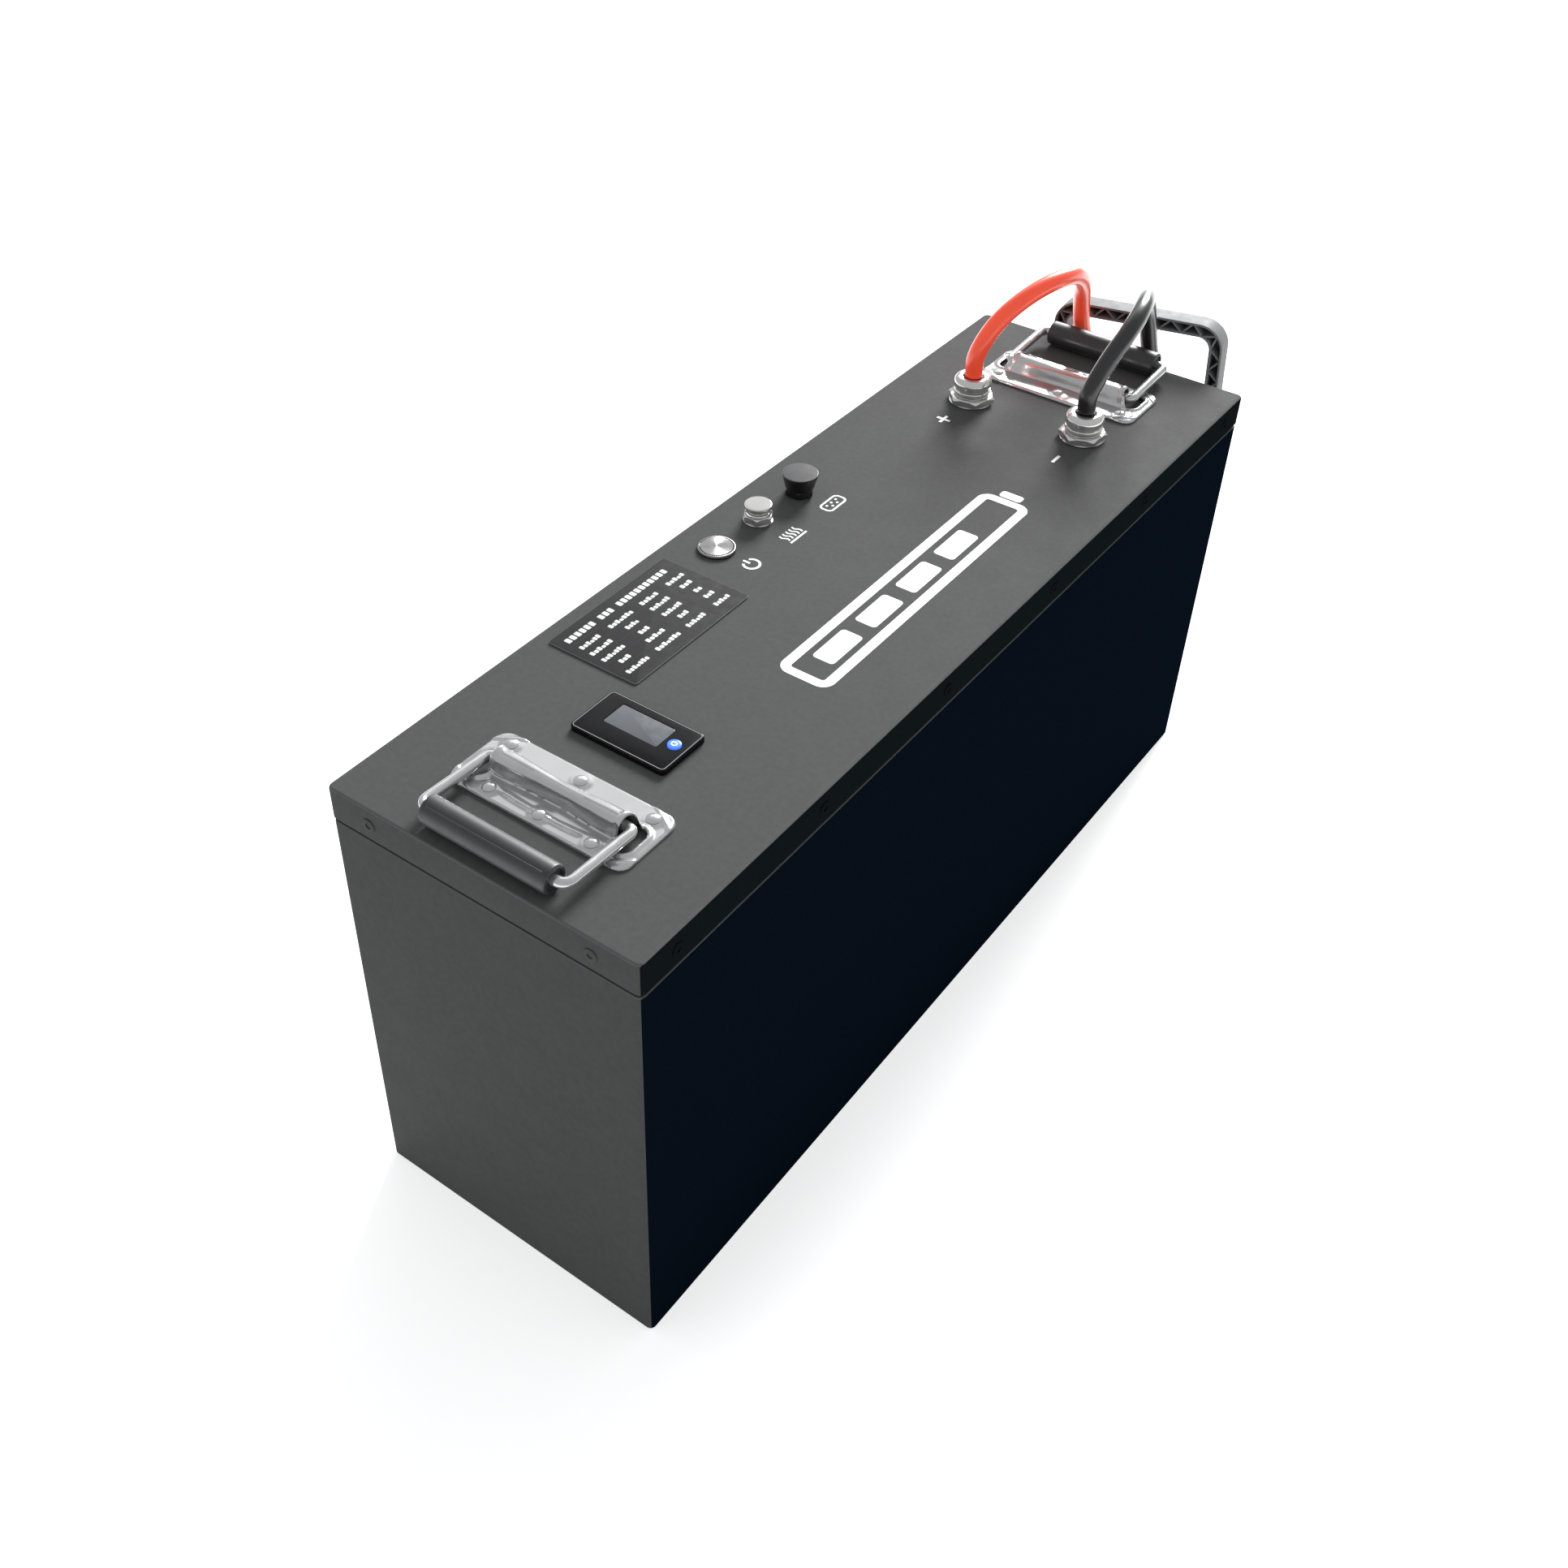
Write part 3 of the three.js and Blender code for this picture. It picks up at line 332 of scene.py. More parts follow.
def loft(rings, loop=False):
    """A closed skin over rings of equal count; the end rings are filled, or joined in a loop."""
    count = len(rings[0])
    vertices = [point for one in rings for point in one]
    faces = []
    levels = len(rings) if loop else len(rings) - 1
    for k in range(levels):
        a = k * count
        b = ((k + 1) % len(rings)) * count
        for i in range(count):
            j = (i + 1) % count
            faces.append((a + i, a + j, b + j, b + i))
    if not loop:
        faces.append(tuple(reversed(range(count))))
        last = (len(rings) - 1) * count
        faces.append(tuple(range(last, last + count)))
    return vertices, faces


def turned(profile, sides=64, loop=False, centre=(0, 0)):
    """A solid of revolution about Z from (radius, height) pairs, listed bottom up outside."""
    return loft([ring(max(radius, 0.02), z, sides, centre) for radius, z in profile], loop)


def slab(width, length, corner, low, high, edge=0.3, foot=0.0, steps=6, centre=(0, 0)):
    """A flat plate with rounded corners, a rounded top edge and, if asked, a rounded foot."""
    profile = []
    for angle in (0, 30, 60, 90) if foot else (90,):
        t = math.radians(angle)
        profile.append((foot * (1 - math.sin(t)), low + foot * (1 - math.cos(t))))
    for angle in (0, 22.5, 45, 67.5, 90):
        t = math.radians(angle)
        profile.append((edge * (1 - math.cos(t)), high - edge + edge * math.sin(t)))
    rings = [
        rounded_rectangle(width - 2 * inset, length - 2 * inset, corner - inset, z, steps)
        for inset, z in profile
    ]
    return shifted(loft(rings), *centre)


def prism(outline, low, high):
    """A flat outline, anticlockwise from above, drawn up from low to high."""
    return loft([[(x, y, low) for x, y in outline], [(x, y, high) for x, y in outline]])


def off_flat(angle):
    """How far a direction is from the middle of its flat, on a hexagon with a corner on +X."""
    return (angle % (math.pi / 3)) - math.pi / 6


# Of a nut: how deep its corners' chamfers are, and the cone's radius at its faces.
CHAMFER_DEPTH = 0.62
CHAMFER_CONE = 0.985


def hex_nut(across, low, high, bore=None, sides=72):
    """A hexagon with its corners chamfered top and bottom, as a turned nut has."""
    flat = across / 2
    point = flat / math.cos(math.pi / 6)
    drop = (point - flat) * CHAMFER_DEPTH

    def outline(z):
        depth = min(z - low, high - z)
        narrow = flat * CHAMFER_CONE
        cone = narrow + (point - narrow) * min(1, depth / drop)
        points = []
        for i in range(sides):
            angle = 2 * math.pi * i / sides
            radius = min(flat / math.cos(off_flat(angle)), cone)
            points.append((radius * math.cos(angle), radius * math.sin(angle), z))
        return points

    levels = [low + drop * k / 4 for k in range(5)] + [high - drop * (4 - k) / 4 for k in range(5)]
    rings = [outline(z) for z in levels]
    if bore is None:
        return loft(rings)
    return loft([ring(bore, low, sides), *rings, ring(bore, high, sides)], loop=True)


def moved(shape, matrix):
    """A shape with a matrix applied to it."""
    vertices, faces = shape
    return [tuple(matrix @ Vector(v)) for v in vertices], faces


def shifted(shape, x, y, z=0):
    """A shape moved along the axes."""
    return moved(shape, Matrix.Translation((x, y, z)))


def together(*shapes):
    """Several shapes as one."""
    vertices = []
    faces = []
    for points, polygons in shapes:
        start = len(vertices)
        vertices.extend(points)
        faces.extend(tuple(start + i for i in polygon) for polygon in polygons)
    return vertices, faces


def tube(points, radius, sides=24):
    """A round rod along points, with small chamfers at its two ends."""
    path = [Vector(p) for p in points]
    tangents = []
    for i in range(len(path)):
        ahead = path[min(i + 1, len(path) - 1)] - path[max(i - 1, 0)]
        tangents.append(ahead.normalized())
    side = tangents[0].orthogonal().normalized()
    rings = []
    for i, (point, tangent) in enumerate(zip(path, tangents)):
        side = (side - tangent * side.dot(tangent)).normalized()
        up = tangent.cross(side)
        size = radius * (0.86 if i in (0, len(path) - 1) else 1)
        rings.append([
            tuple(point + size * (side * math.cos(a) + up * math.sin(a)))
            for a in (2 * math.pi * k / sides for k in range(sides))
        ])
    return loft(rings)


def bent_path(corners, bends, steps=10):
    """Points along straight runs with each inner corner bent, the same way as the CAD's rods."""
    points = [Vector(c) for c in corners]
    first = points[0]
    path = [first, first.lerp(points[1], 0.04)]
    for i in range(1, len(points) - 1):
        back = (points[i - 1] - points[i]).normalized() * bends[i - 1]
        on = (points[i + 1] - points[i]).normalized() * bends[i - 1]
        start, end = points[i] + back, points[i] + on
        for k in range(steps + 1):
            t = k / steps
            path.append(start * (1 - t) ** 2 + points[i] * 2 * t * (1 - t) + end * t ** 2)
    path += [points[-1].lerp(points[-2], 0.04), points[-1]]
    return path


CREASE = 32


def new_mesh(name, shape):
    """A mesh of a shape that is given in millimetres."""
    vertices, faces = shape
    mesh = bpy.data.meshes.new(name)
    mesh.from_pydata([Vector(v) * MM for v in vertices], [], faces)
    return mesh


def soften(mesh, crease=CREASE):
    """Smooth shading, except across edges sharper than the crease, in degrees."""
    mesh.shade_smooth()
    mesh.set_sharp_from_angle(angle=math.radians(crease))


def piece(name, shape, look, body="case", slot=None, at=(0, 0, 0), stands_for=(),
          turn=(0, 0, 0), crease=CREASE):
    """Makes one visible piece and rides it on its body.

    The slot argument is not used.
    """
    slot = slot or look
    mesh = new_mesh(name, shape)
    mesh.materials.append(LOOKS[look])
    soften(mesh, crease)
    obj = new_object(name, mesh)
    obj.location = at
    obj.rotation_euler = Euler([math.radians(a) for a in turn])
    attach(obj, body)
    if stands_for:
        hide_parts(*stands_for)
    return obj


def carve(obj, shape):
    """Cuts a closed shape, in the piece's own millimetres, out of a piece."""
    cutter = new_object("cutter", new_mesh("cutter", shape))
    cutter.matrix_world = obj.matrix_world
    modifier = obj.modifiers.new("carve", "BOOLEAN")
    modifier.operation = "DIFFERENCE"
    modifier.solver = "EXACT"
    modifier.object = cutter
    bpy.context.view_layer.update()
    evaluated = obj.evaluated_get(bpy.context.evaluated_depsgraph_get())
    result = bpy.data.meshes.new_from_object(evaluated)
    obj.modifiers.clear()
    obj.data = result
    bpy.data.objects.remove(cutter)
    soften(obj.data)


# ---- cables

CABLE_DIAMETER = 0.012

# x and y, and height above the lid's top face, in metres, from the gland to the connector.
POSITIVE_ROUTE = [
    (-0.0436, 0.207, 0.0194), (-0.0435, 0.2074, 0.031), (-0.04, 0.2122, 0.0445),
    (-0.0355, 0.2208, 0.0555), (-0.03, 0.232, 0.0638), (-0.0245, 0.245, 0.0694),
    (-0.02, 0.259, 0.0718), (-0.0175, 0.273, 0.071), (-0.017, 0.2865, 0.0672),
    (-0.0185, 0.299, 0.0603), (-0.0215, 0.31, 0.0508), (-0.0245, 0.3185, 0.0392),
    (-0.0265, 0.3252, 0.0265), (-0.0268, 0.33, 0.013), (-0.025, 0.3345, 0),
    (-0.0213, 0.3395, -0.013), (-0.0165, 0.345, -0.025), (-0.0124, 0.3496, -0.036),
    (-0.0105, 0.3515, -0.045), (-0.0099, 0.3517, -0.0536),
]
NEGATIVE_ROUTE = [
    (0.0389, 0.2084, 0.0194), (0.039, 0.209, 0.031), (0.0412, 0.2168, 0.0435),
    (0.0438, 0.2255, 0.0542), (0.046, 0.236, 0.063), (0.046, 0.249, 0.0694),
    (0.0432, 0.263, 0.0717), (0.0388, 0.2763, 0.07), (0.0342, 0.289, 0.0659),
    (0.03, 0.3006, 0.0592), (0.0266, 0.3112, 0.05), (0.0246, 0.3198, 0.0388),
    (0.024, 0.3264, 0.0265), (0.0243, 0.3316, 0.0135), (0.0254, 0.3362, 0.001),
    (0.0274, 0.3414, -0.01), (0.0298, 0.347, -0.021), (0.032, 0.3525, -0.032),
    (0.0333, 0.3556, -0.042), (0.0338, 0.3563, -0.0506),
]


def through(route, steps=8):
    """Points along a centripetal Catmull-Rom curve through the route's points."""
    places = [Vector(p) for p in route]
    places = [2 * places[0] - places[1], *places, 2 * places[-1] - places[-2]]
    line = []
    for a, b, c, d in zip(places, places[1:], places[2:], places[3:]):
        t1 = (b - a).length ** 0.5
        t2 = t1 + (c - b).length ** 0.5
        t3 = t2 + (d - c).length ** 0.5
        for k in range(steps):
            t = t1 + (t2 - t1) * k / steps
            ab = a.lerp(b, t / t1)
            bc = b.lerp(c, (t - t1) / (t2 - t1))
            cd = c.lerp(d, (t - t2) / (t3 - t2))
            abc = ab.lerp(bc, t / t2)
            bcd = bc.lerp(cd, (t - t1) / (t3 - t1))
            line.append(abc.lerp(bcd, (t - t1) / (t2 - t1)))
    line.append(places[-2])
    return line


def add_cable(pole, route, look):
    """A round sheath along the route; returns it with its start and length, in metres."""
    line = through([(x, y, LID_TOP + height) for x, y, height in route])
    data = bpy.data.curves.new(f"{pole}_battery_cable", "CURVE")
    data.dimensions = "3D"
    data.bevel_depth = CABLE_DIAMETER / 2
    data.bevel_resolution = 8
    data.use_fill_caps = True
    data.materials.append(LOOKS[look])
    spline = data.splines.new("POLY")
    spline.points.add(len(line) - 1)
    for point, place in zip(spline.points, line):
        point.co = (*place, 1)
    spline.use_smooth = True
    cable = new_object(f"{pole}_battery_cable", data)
    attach(cable, "case")
    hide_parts(f"{pole}_cable")
    length = sum((b - a).length for a, b in zip(line, line[1:]))
    return cable, line[0], length


# ---- two-pole connector

CONNECTOR_PLACE = (0.012, 0.354, LID_TOP - 0.053)
CONNECTOR_TURN = (0, -4, 6)
HOUSING = {"width": 103, "depth": 32, "shoulder": 12, "height": 98, "pole_x": 22}
MOUTH = {"x": 25.5, "width": 36, "depth": 20, "deep": 38}
CONTACT = {"width": 24, "thick": 3, "y": 7, "tip": 4, "foot": 9, "foot_y": 2.8}
SIDE_PANEL = {
    "inset": 14, "thick": 1.2, "corner": 0.5, "edge": 0.4, "low": -62, "height": 26, "proud": 0.1,
}
FINGER_RIB = {
    "inset": 24, "thick": 0.9, "corner": 0.4, "edge": 0.3, "low": -58, "height": 1.6,
    "proud": 0.7, "pitch": 4,
}
FINGER_RIBS = 6
D_HANDLE = {
    "width": 123, "top": 77, "foot": -45, "band": 9.4, "depth": 15, "outer_r": 18,
    "wall": 1.6, "web": 3, "soft": 1.2,
}
ZIGZAG = {"pitch": 8.0, "half": 0.6, "near": 0.8, "far": 2.5}
D_SCREW = {"z": -28, "shank_r": 2.4, "shank": 9, "head_r": 4.5, "head": 2.5, "proud": 0.3}


def barrel_profile():
    """A cable barrel with four moulded grooves and a rounded mouth."""
    profile = [(13.5, -14), (13.5, -9)]
    for k in range(4):
        z = -8.4 + 1.9 * k
        profile += [(12.9, z), (12.9, z + 0.6), (13.5, z + 0.9), (13.5, z + 1.6)]
    return profile + [(13.2, -0.5), (12.6, 0), (8.4, 0), (7.4, -0.8)]


def raised_on_wall(side, block, low):
    """A thin raised block on the housing's front (-1) or back (1) wall."""
    shape = slab(HOUSING["width"] - block["inset"], block["thick"], block["corner"], 0,
                 block["height"], edge=block["edge"])
    return shifted(shape, 0, side * (HOUSING["depth"] / 2 + block["proud"]), low)


def housing_shape():
    """The connector's body with two ribbed cable barrels on its shoulder."""
    shapes = [slab(HOUSING["width"], HOUSING["depth"], 5, -HOUSING["height"], -HOUSING["shoulder"],
                   edge=1.6, foot=0.8)]
    for side in (-1, 1):
        shapes.append(turned(barrel_profile(), 48, centre=(side * HOUSING["pole_x"], 0)))
    for side in (-1, 1):
        shapes.append(raised_on_wall(side, SIDE_PANEL, SIDE_PANEL["low"]))
        for k in range(FINGER_RIBS):
            low = FINGER_RIB["low"] + FINGER_RIB["pitch"] * k
            shapes.append(raised_on_wall(side, FINGER_RIB, low))
    return together(*shapes)


def handle_line(inset=0.0, steps=12):
    """The middle line of the D-shaped pull handle, from one foot round to the other."""
    half = D_HANDLE["width"] / 2 - D_HANDLE["band"] / 2 - inset
    top = D_HANDLE["top"] - D_HANDLE["band"] / 2 - inset
    corner = D_HANDLE["outer_r"] - D_HANDLE["band"] / 2 - inset
    line = [Vector((half, 0, D_HANDLE["foot"])), Vector((half, 0, -HOUSING["shoulder"]))]
    for start, sign in ((0, 1), (math.pi / 2, -1)):
        for i in range(steps + 1):
            angle = start + math.pi / 2 * i / steps
            centre_x = sign * (half - corner)
            line.append(Vector((
                centre_x + corner * math.cos(angle), 0, top - corner + corner * math.sin(angle),
            )))
    line += [Vector((-half, 0, -HOUSING["shoulder"])), Vector((-half, 0, D_HANDLE["foot"]))]
    return line


def swept_band(line, section):
    """A section of (across, depth) points carried along a line in the XZ plane."""
    rings = []
    for i, point in enumerate(line):
        ahead = (line[min(i + 1, len(line) - 1)] - line[max(i - 1, 0)]).normalized()
        out = Vector((ahead.z, 0, -ahead.x))
        rings.append([tuple(point + out * a + Vector((0, d, 0))) for a, d in section])
    return loft(rings)


def handle_section():
    """A channel section: a web at the back and two flanges with rounded outer corners."""
    half, deep, wall = D_HANDLE["band"] / 2, D_HANDLE["depth"] / 2, D_HANDLE["wall"]
    web, soft = D_HANDLE["web"], D_HANDLE["soft"]
    section = []
    for cx, cy, start in ((half, deep, 0), (-half, deep, 90)):
        sx = 1 if cx > 0 else -1
        for x, y in arc(soft, start, start + 90, 4):
            section.append((cx - sx * soft + x, cy - soft + y))
    lip = [
        (half, 0.4 - deep), (half - 0.4, -deep),
        (half - wall + 0.3, -deep), (half - wall, 0.3 - deep), (half - wall, deep - web),
    ]
    return section + [(-x, y) for x, y in lip] + lip[::-1]


def handle_ribs():
    """Zigzag stiffening ribs that fill the handle's channel."""
    line = handle_line()
    inner = D_HANDLE["band"] / 2 - D_HANDLE["wall"] / 2
    travelled = 0.0
    marks = []
    for a, b in zip(line[1:-1], line[2:-1]):
        run = (b - a).length
        along = (b - a) / run
        out = Vector((along.z, 0, -along.x))
        while travelled < run:
            side = 1 if len(marks) % 2 == 0 else -1
            marks.append(a + along * travelled + out * inner * side)
            travelled += ZIGZAG["pitch"]
        travelled -= run
    near = ZIGZAG["near"] - D_HANDLE["depth"] / 2
    far = D_HANDLE["depth"] / 2 - ZIGZAG["far"]
    ribs = []
    for a, b in zip(marks, marks[1:]):
        along = (b - a).normalized()
        out = Vector((along.z, 0, -along.x)) * ZIGZAG["half"]
        low = [tuple(p + Vector((0, near, 0))) for p in (a + out, a - out, b - out, b + out)]
        high = [(x, far, z) for x, _, z in low]
        ribs.append(loft([high, low]))
    return together(*ribs)


def contact_shape(side):
    """One flat contact blade in its mouth, with a wider foot at its root."""
    x = side * MOUTH["x"]
    low = CONTACT["tip"] - HOUSING["height"]
    high = MOUTH["deep"] - HOUSING["height"]
    blade = slab(CONTACT["width"], CONTACT["thick"], 0.8, low, high, edge=0.5, foot=1.1,
                 centre=(x, CONTACT["y"]))
    foot = slab(CONTACT["width"], CONTACT["foot"], 0.8, high - 3, high - 0.3,
                centre=(x, CONTACT["foot_y"]))
    return together(blade, foot)


def side_screw_shape(side):
    """A flanged pan-head screw with a hexagon socket, pointing into one leg of the handle."""
    shank = turned([(D_SCREW["shank_r"], -D_SCREW["shank"]), (D_SCREW["shank_r"], 0.4)], 24)
    reach = D_HANDLE["width"] / 2 + D_SCREW["proud"]
    place = Matrix.Translation((side * reach, 0, D_SCREW["z"]))
    turn = Matrix.Rotation(side * math.pi / 2, 4, "Y")
    return moved(together(shank, socket_head(D_SCREW["head_r"], D_SCREW["head"])), place @ turn)


def socket_head(radius, height, sides=48):
    """A low domed screw head with a hexagon socket in it."""
    turn = 2 * math.pi / sides
    socket = [(radius * 0.42 / math.cos(off_flat(i * turn)), i * turn) for i in range(sides)]

    def hex_ring(z):
        return [(r * math.cos(angle), r * math.sin(angle), z) for r, angle in socket]

    profile = [(radius, 0), (radius, height * 0.45)]
    for across, up in arc(1, 25, 75, 2):
        profile.append((radius * (0.62 + 0.38 * across), height * (0.45 + 0.55 * up)))
    profile.append((radius * 0.6, height))
    rings = [ring(r, z, sides) for r, z in profile]
    return loft([*rings, hex_ring(height), hex_ring(height * 0.35)])


def add_connector():
    """Every piece of the connector, in its own tilted frame behind the rear wall."""
    common = {"at": CONNECTOR_PLACE, "turn": CONNECTOR_TURN}
    housing = piece("connector_body", housing_shape(), "grey_plastic",
                    stands_for=["connector_housing"], **common)
    low = -HOUSING["height"] - 2
    high = MOUTH["deep"] - HOUSING["height"]
    for side in (-1, 1):
        carve(housing, slab(MOUTH["width"], MOUTH["depth"], 2.5, low, high, edge=0.2,
                            centre=(side * MOUTH["x"], 0)))
    band = swept_band(handle_line(), handle_section())
    made = [housing, piece(
        "connector_pull_handle", together(band, handle_ribs()), "grey_plastic",
        stands_for=["connector_handle"], **common,
    )]
    for name, side in (("left", -1), ("right", 1)):
        made.append(piece(
            f"pull_handle_screw_{name}", side_screw_shape(side), "zinc",
            stands_for=[f"connector_handle_screw_{name}"], **common,
        ))
    for name, side in (("positive", -1), ("negative", 1)):
        made.append(piece(
            f"{name}_contact_blade", contact_shape(side), "copper",
            stands_for=[f"connector_{name}_contact"], **common,
        ))
    return made


def add_cables():
    """Both cables with the connector that they share."""
    connector = add_connector()
    cables = {
        "positive": (POSITIVE_ROUTE, "red_sheath"),
        "negative": (NEGATIVE_ROUTE, "black_sheath"),
    }
    for pole, (route, look) in cables.items():
        cable, start, length = add_cable(pole, route, look)


# ---- case, lid and lid screws

LEDGE_Z = 273.6
NECK_INSET = 1.5
CASE_CORNER = 3.7
LID_CORNER = 4.0
LID_EDGE = 1.6
SKIRT = {"sheet": 1.5, "low": 275.8, "roof": 294}
LID_SCREW = {"z": 285.5, "radius": 3.9, "height": 0.8, "proud": 0.05}
SIDE_SCREW_Y = (-298, -179, -60, 60, 179, 298)
END_SCREW_X = (-71, 71)


def repaint(obj, look, wanted):
    """Gives another coat to the faces whose normal passes a test."""
    obj.data.materials.append(LOOKS[look])
    added = len(obj.data.materials) - 1
    for face in obj.data.polygons:
        if wanted(face.normal):
            face.material_index = added


LEVEL = 0.97


def faces_up(normal):
    """True for level faces, which mirror the softbox; some pieces give them a darker copy of their
    metal as painted shade, or a lighter top as a painted sheen.
    """
    return normal.z > LEVEL


# Normals that choose which faces take the painted highlight and which take the painted shade.
EDGE_SLOPE = (0.25, 0.95)
END_FACING = 0.5
SIDE_FACING = 0.72


def paint_upright_faces(obj, side_look):
    """Painted highlight on the rounded edges, which catch more light; painted shade on the ends and
    the long sides.
    """
    low, high = EDGE_SLOPE
    repaint(obj, "highlight_edge_coat", lambda normal: low < normal.z < high)
    repaint(obj, "shaded_end_coat", lambda normal: abs(normal.y) > END_FACING and normal.z < low)
    repaint(obj, side_look, lambda normal: abs(normal.x) > SIDE_FACING)


def box_skin(width, length, corner, least_corner, profile):
    """A skin over (inset, height) pairs that follow a box with rounded upright corners."""
    return loft([
        rounded_rectangle(width - 2 * inset, length - 2 * inset,
                          max(corner - inset, least_corner), z, 8)
        for inset, z in profile
    ])


def case_shape():
    """A folded sheet box: rounded foot, ledge under the lid's skirt, neck with a flange."""
    width, length = (CASE_HIGH.x - CASE_LOW.x) / MM, (CASE_HIGH.y - CASE_LOW.y) / MM
    rim = CASE_HIGH.z / MM
    profile = [(1.2 - x, 1.2 + z) for x, z in arc(1.2, -90, 0)]
    profile += [(0.9 - x, LEDGE_Z - 0.9 + z) for x, z in arc(0.9, 0, 90)]
    profile += [(NECK_INSET, LEDGE_Z), (NECK_INSET, rim), (13, rim), (13, rim - 2), (3.5, rim - 2)]
    profile += [(3.5, LEDGE_Z - 2), (2, LEDGE_Z - 2), (2, 2)]
    return box_skin(width, length, CASE_CORNER, 0.6, profile)


def lid_shape():
    """A pressed lid: flat top, rounded top edge and a skirt of single sheet."""
    sheet, low, roof = SKIRT["sheet"], SKIRT["low"], SKIRT["roof"]
    top = LID_TOP / MM
    profile = [(sheet + 1.2, roof), (sheet, roof - 1.2), (sheet, low + 0.2)]
    profile += [(sheet - 0.2, low), (0.25, low), (0, low + 0.25)]
    profile += [(LID_EDGE - x, top - LID_EDGE + z) for x, z in arc(LID_EDGE, 0, 90)]
    return box_skin(LID_WIDTH, LID_LENGTH, LID_CORNER, 0.8, profile)


def screw_row(facing, places, reach):
    """Socket heads of one side's screws, on a skirt that faces a direction in degrees."""
    turn = Matrix.Rotation(math.radians(facing), 4, "Z")
    lay = Matrix.Rotation(math.pi / 2, 4, "Y")
    heads = []
    for along in places:
        place = Matrix.Translation((reach + LID_SCREW["proud"], along, LID_SCREW["z"]))
        heads.append(moved(socket_head(LID_SCREW["radius"], LID_SCREW["height"]),
                           turn @ place @ lay))
    return together(*heads)


def add_shell():
    """The case, its lid and the rows of screws round the lid's skirt."""
    case = piece("case_shell", case_shape(), "powder_coat", "case", "case_coat",
                 stands_for=["case_body"])
    # Case and lid get painted shade on their ends and long sides, and a painted highlight on their
    # rounded edges.
    paint_upright_faces(case, "case_coat")
    lid = piece("pressed_lid", lid_shape(), "powder_coat", stands_for=["lid"])
    paint_upright_faces(lid, "shaded_skirt_side_coat")
    half_width, half_length = LID_WIDTH / 2, LID_LENGTH / 2
    rows = {
        # Each row of screw heads takes the painted shade of the skirt it sits on.
        "right": (0, SIDE_SCREW_Y, half_width, "shaded_skirt_side_coat"),
        "left": (180, SIDE_SCREW_Y, half_width, "shaded_skirt_side_coat"),
        "rear": (90, END_SCREW_X, half_length, "shaded_end_coat"),
        "front": (270, END_SCREW_X, half_length, "shaded_end_coat"),
    }
    for side, (facing, places, reach, look) in rows.items():
        piece(f"{side}_screw_heads", screw_row(facing, places, reach), look, "case",
              "powder_coat", stands_for=[f"lid_screws_{side}"])


# ---- folding handles

PLATE = {
    "width": 115, "depth": 46, "corner": 8, "top": 2.1, "low": 0.3, "sheet": 1.3, "edge": 1.5,
}
WAIST = {"half": 34, "narrow": 0.8, "low": 0.9}
# Heights of the plate's pressed relief: round the arm holes and bolts, across the corners, and
# along the bead in front of the ridge.
RELIEF = {"hole": 1.3, "bolt": 0.45, "corner": 0.55, "bead": 0.6}
RIDGE = {"axis_z": 6, "radius": 6.5, "end": 46.5, "fall": 3.4, "flank": 4.6, "foot": 8.0}
ARM_HOLE = {"x": 46.5, "from_y": -1.2, "to_y": 8.2, "radius": 5.2}
BOLTS = ((-46, -15), (0, -15), (46, -15), (-33, 16), (0, 16), (33, 16))
BAIL = {
    "arm_x": 46.5, "reach": 50, "grip_z": 8.6, "rod_r": 3, "stub_x": 20, "corner": 6, "stub": 4.4,
}
GRIP = {"radius": 8, "half": 40}
PARTING_LINE = {"half": 37, "width": 0.9, "proud": 0.3, "angles": (-35, 145)}


def smooth(t):
    """A soft step from 0 to 1."""
    t = min(max(t, 0.0), 1.0)
    return t * t * (3 - 2 * t)


def outside_plate(x, y):
    """Signed distance to the plate's rounded outline, below zero on the plate."""
    corner = PLATE["corner"]
    dx = abs(x) - PLATE["width"] / 2 + corner
    dy = abs(y) - PLATE["depth"] / 2 + corner
    return math.hypot(max(dx, 0), max(dy, 0)) + min(max(dx, dy), 0) - corner


def from_hole(x, y):
    """Signed distance to the nearer arm hole, below zero inside the hole."""
    nearest = min(max(y, ARM_HOLE["from_y"]), ARM_HOLE["to_y"])
    return math.hypot(abs(x) - ARM_HOLE["x"], y - nearest) - ARM_HOLE["radius"]


def ridge_height(x, y):
    """The hinge ridge: round on top, flared at its feet, with a waist in the middle."""
    outward = smooth(abs(x) / WAIST["half"])
    waist = WAIST["narrow"] + (1 - WAIST["narrow"]) * outward
    lift = WAIST["low"] + (1 - WAIST["low"]) * outward
    across = abs(y) / waist
    at_flank = RIDGE["axis_z"] + math.sqrt(RIDGE["radius"] ** 2 - RIDGE["flank"] ** 2)
    if across < RIDGE["flank"]:
        height = RIDGE["axis_z"] + math.sqrt(RIDGE["radius"] ** 2 - across ** 2)
    else:
        t = (across - RIDGE["flank"]) / (RIDGE["foot"] - RIDGE["flank"])
        height = at_flank + (PLATE["top"] - at_flank) * smooth(t)
    end = smooth((RIDGE["end"] - abs(x)) / RIDGE["fall"])
    return max((height - PLATE["top"]) * lift * end, 0)


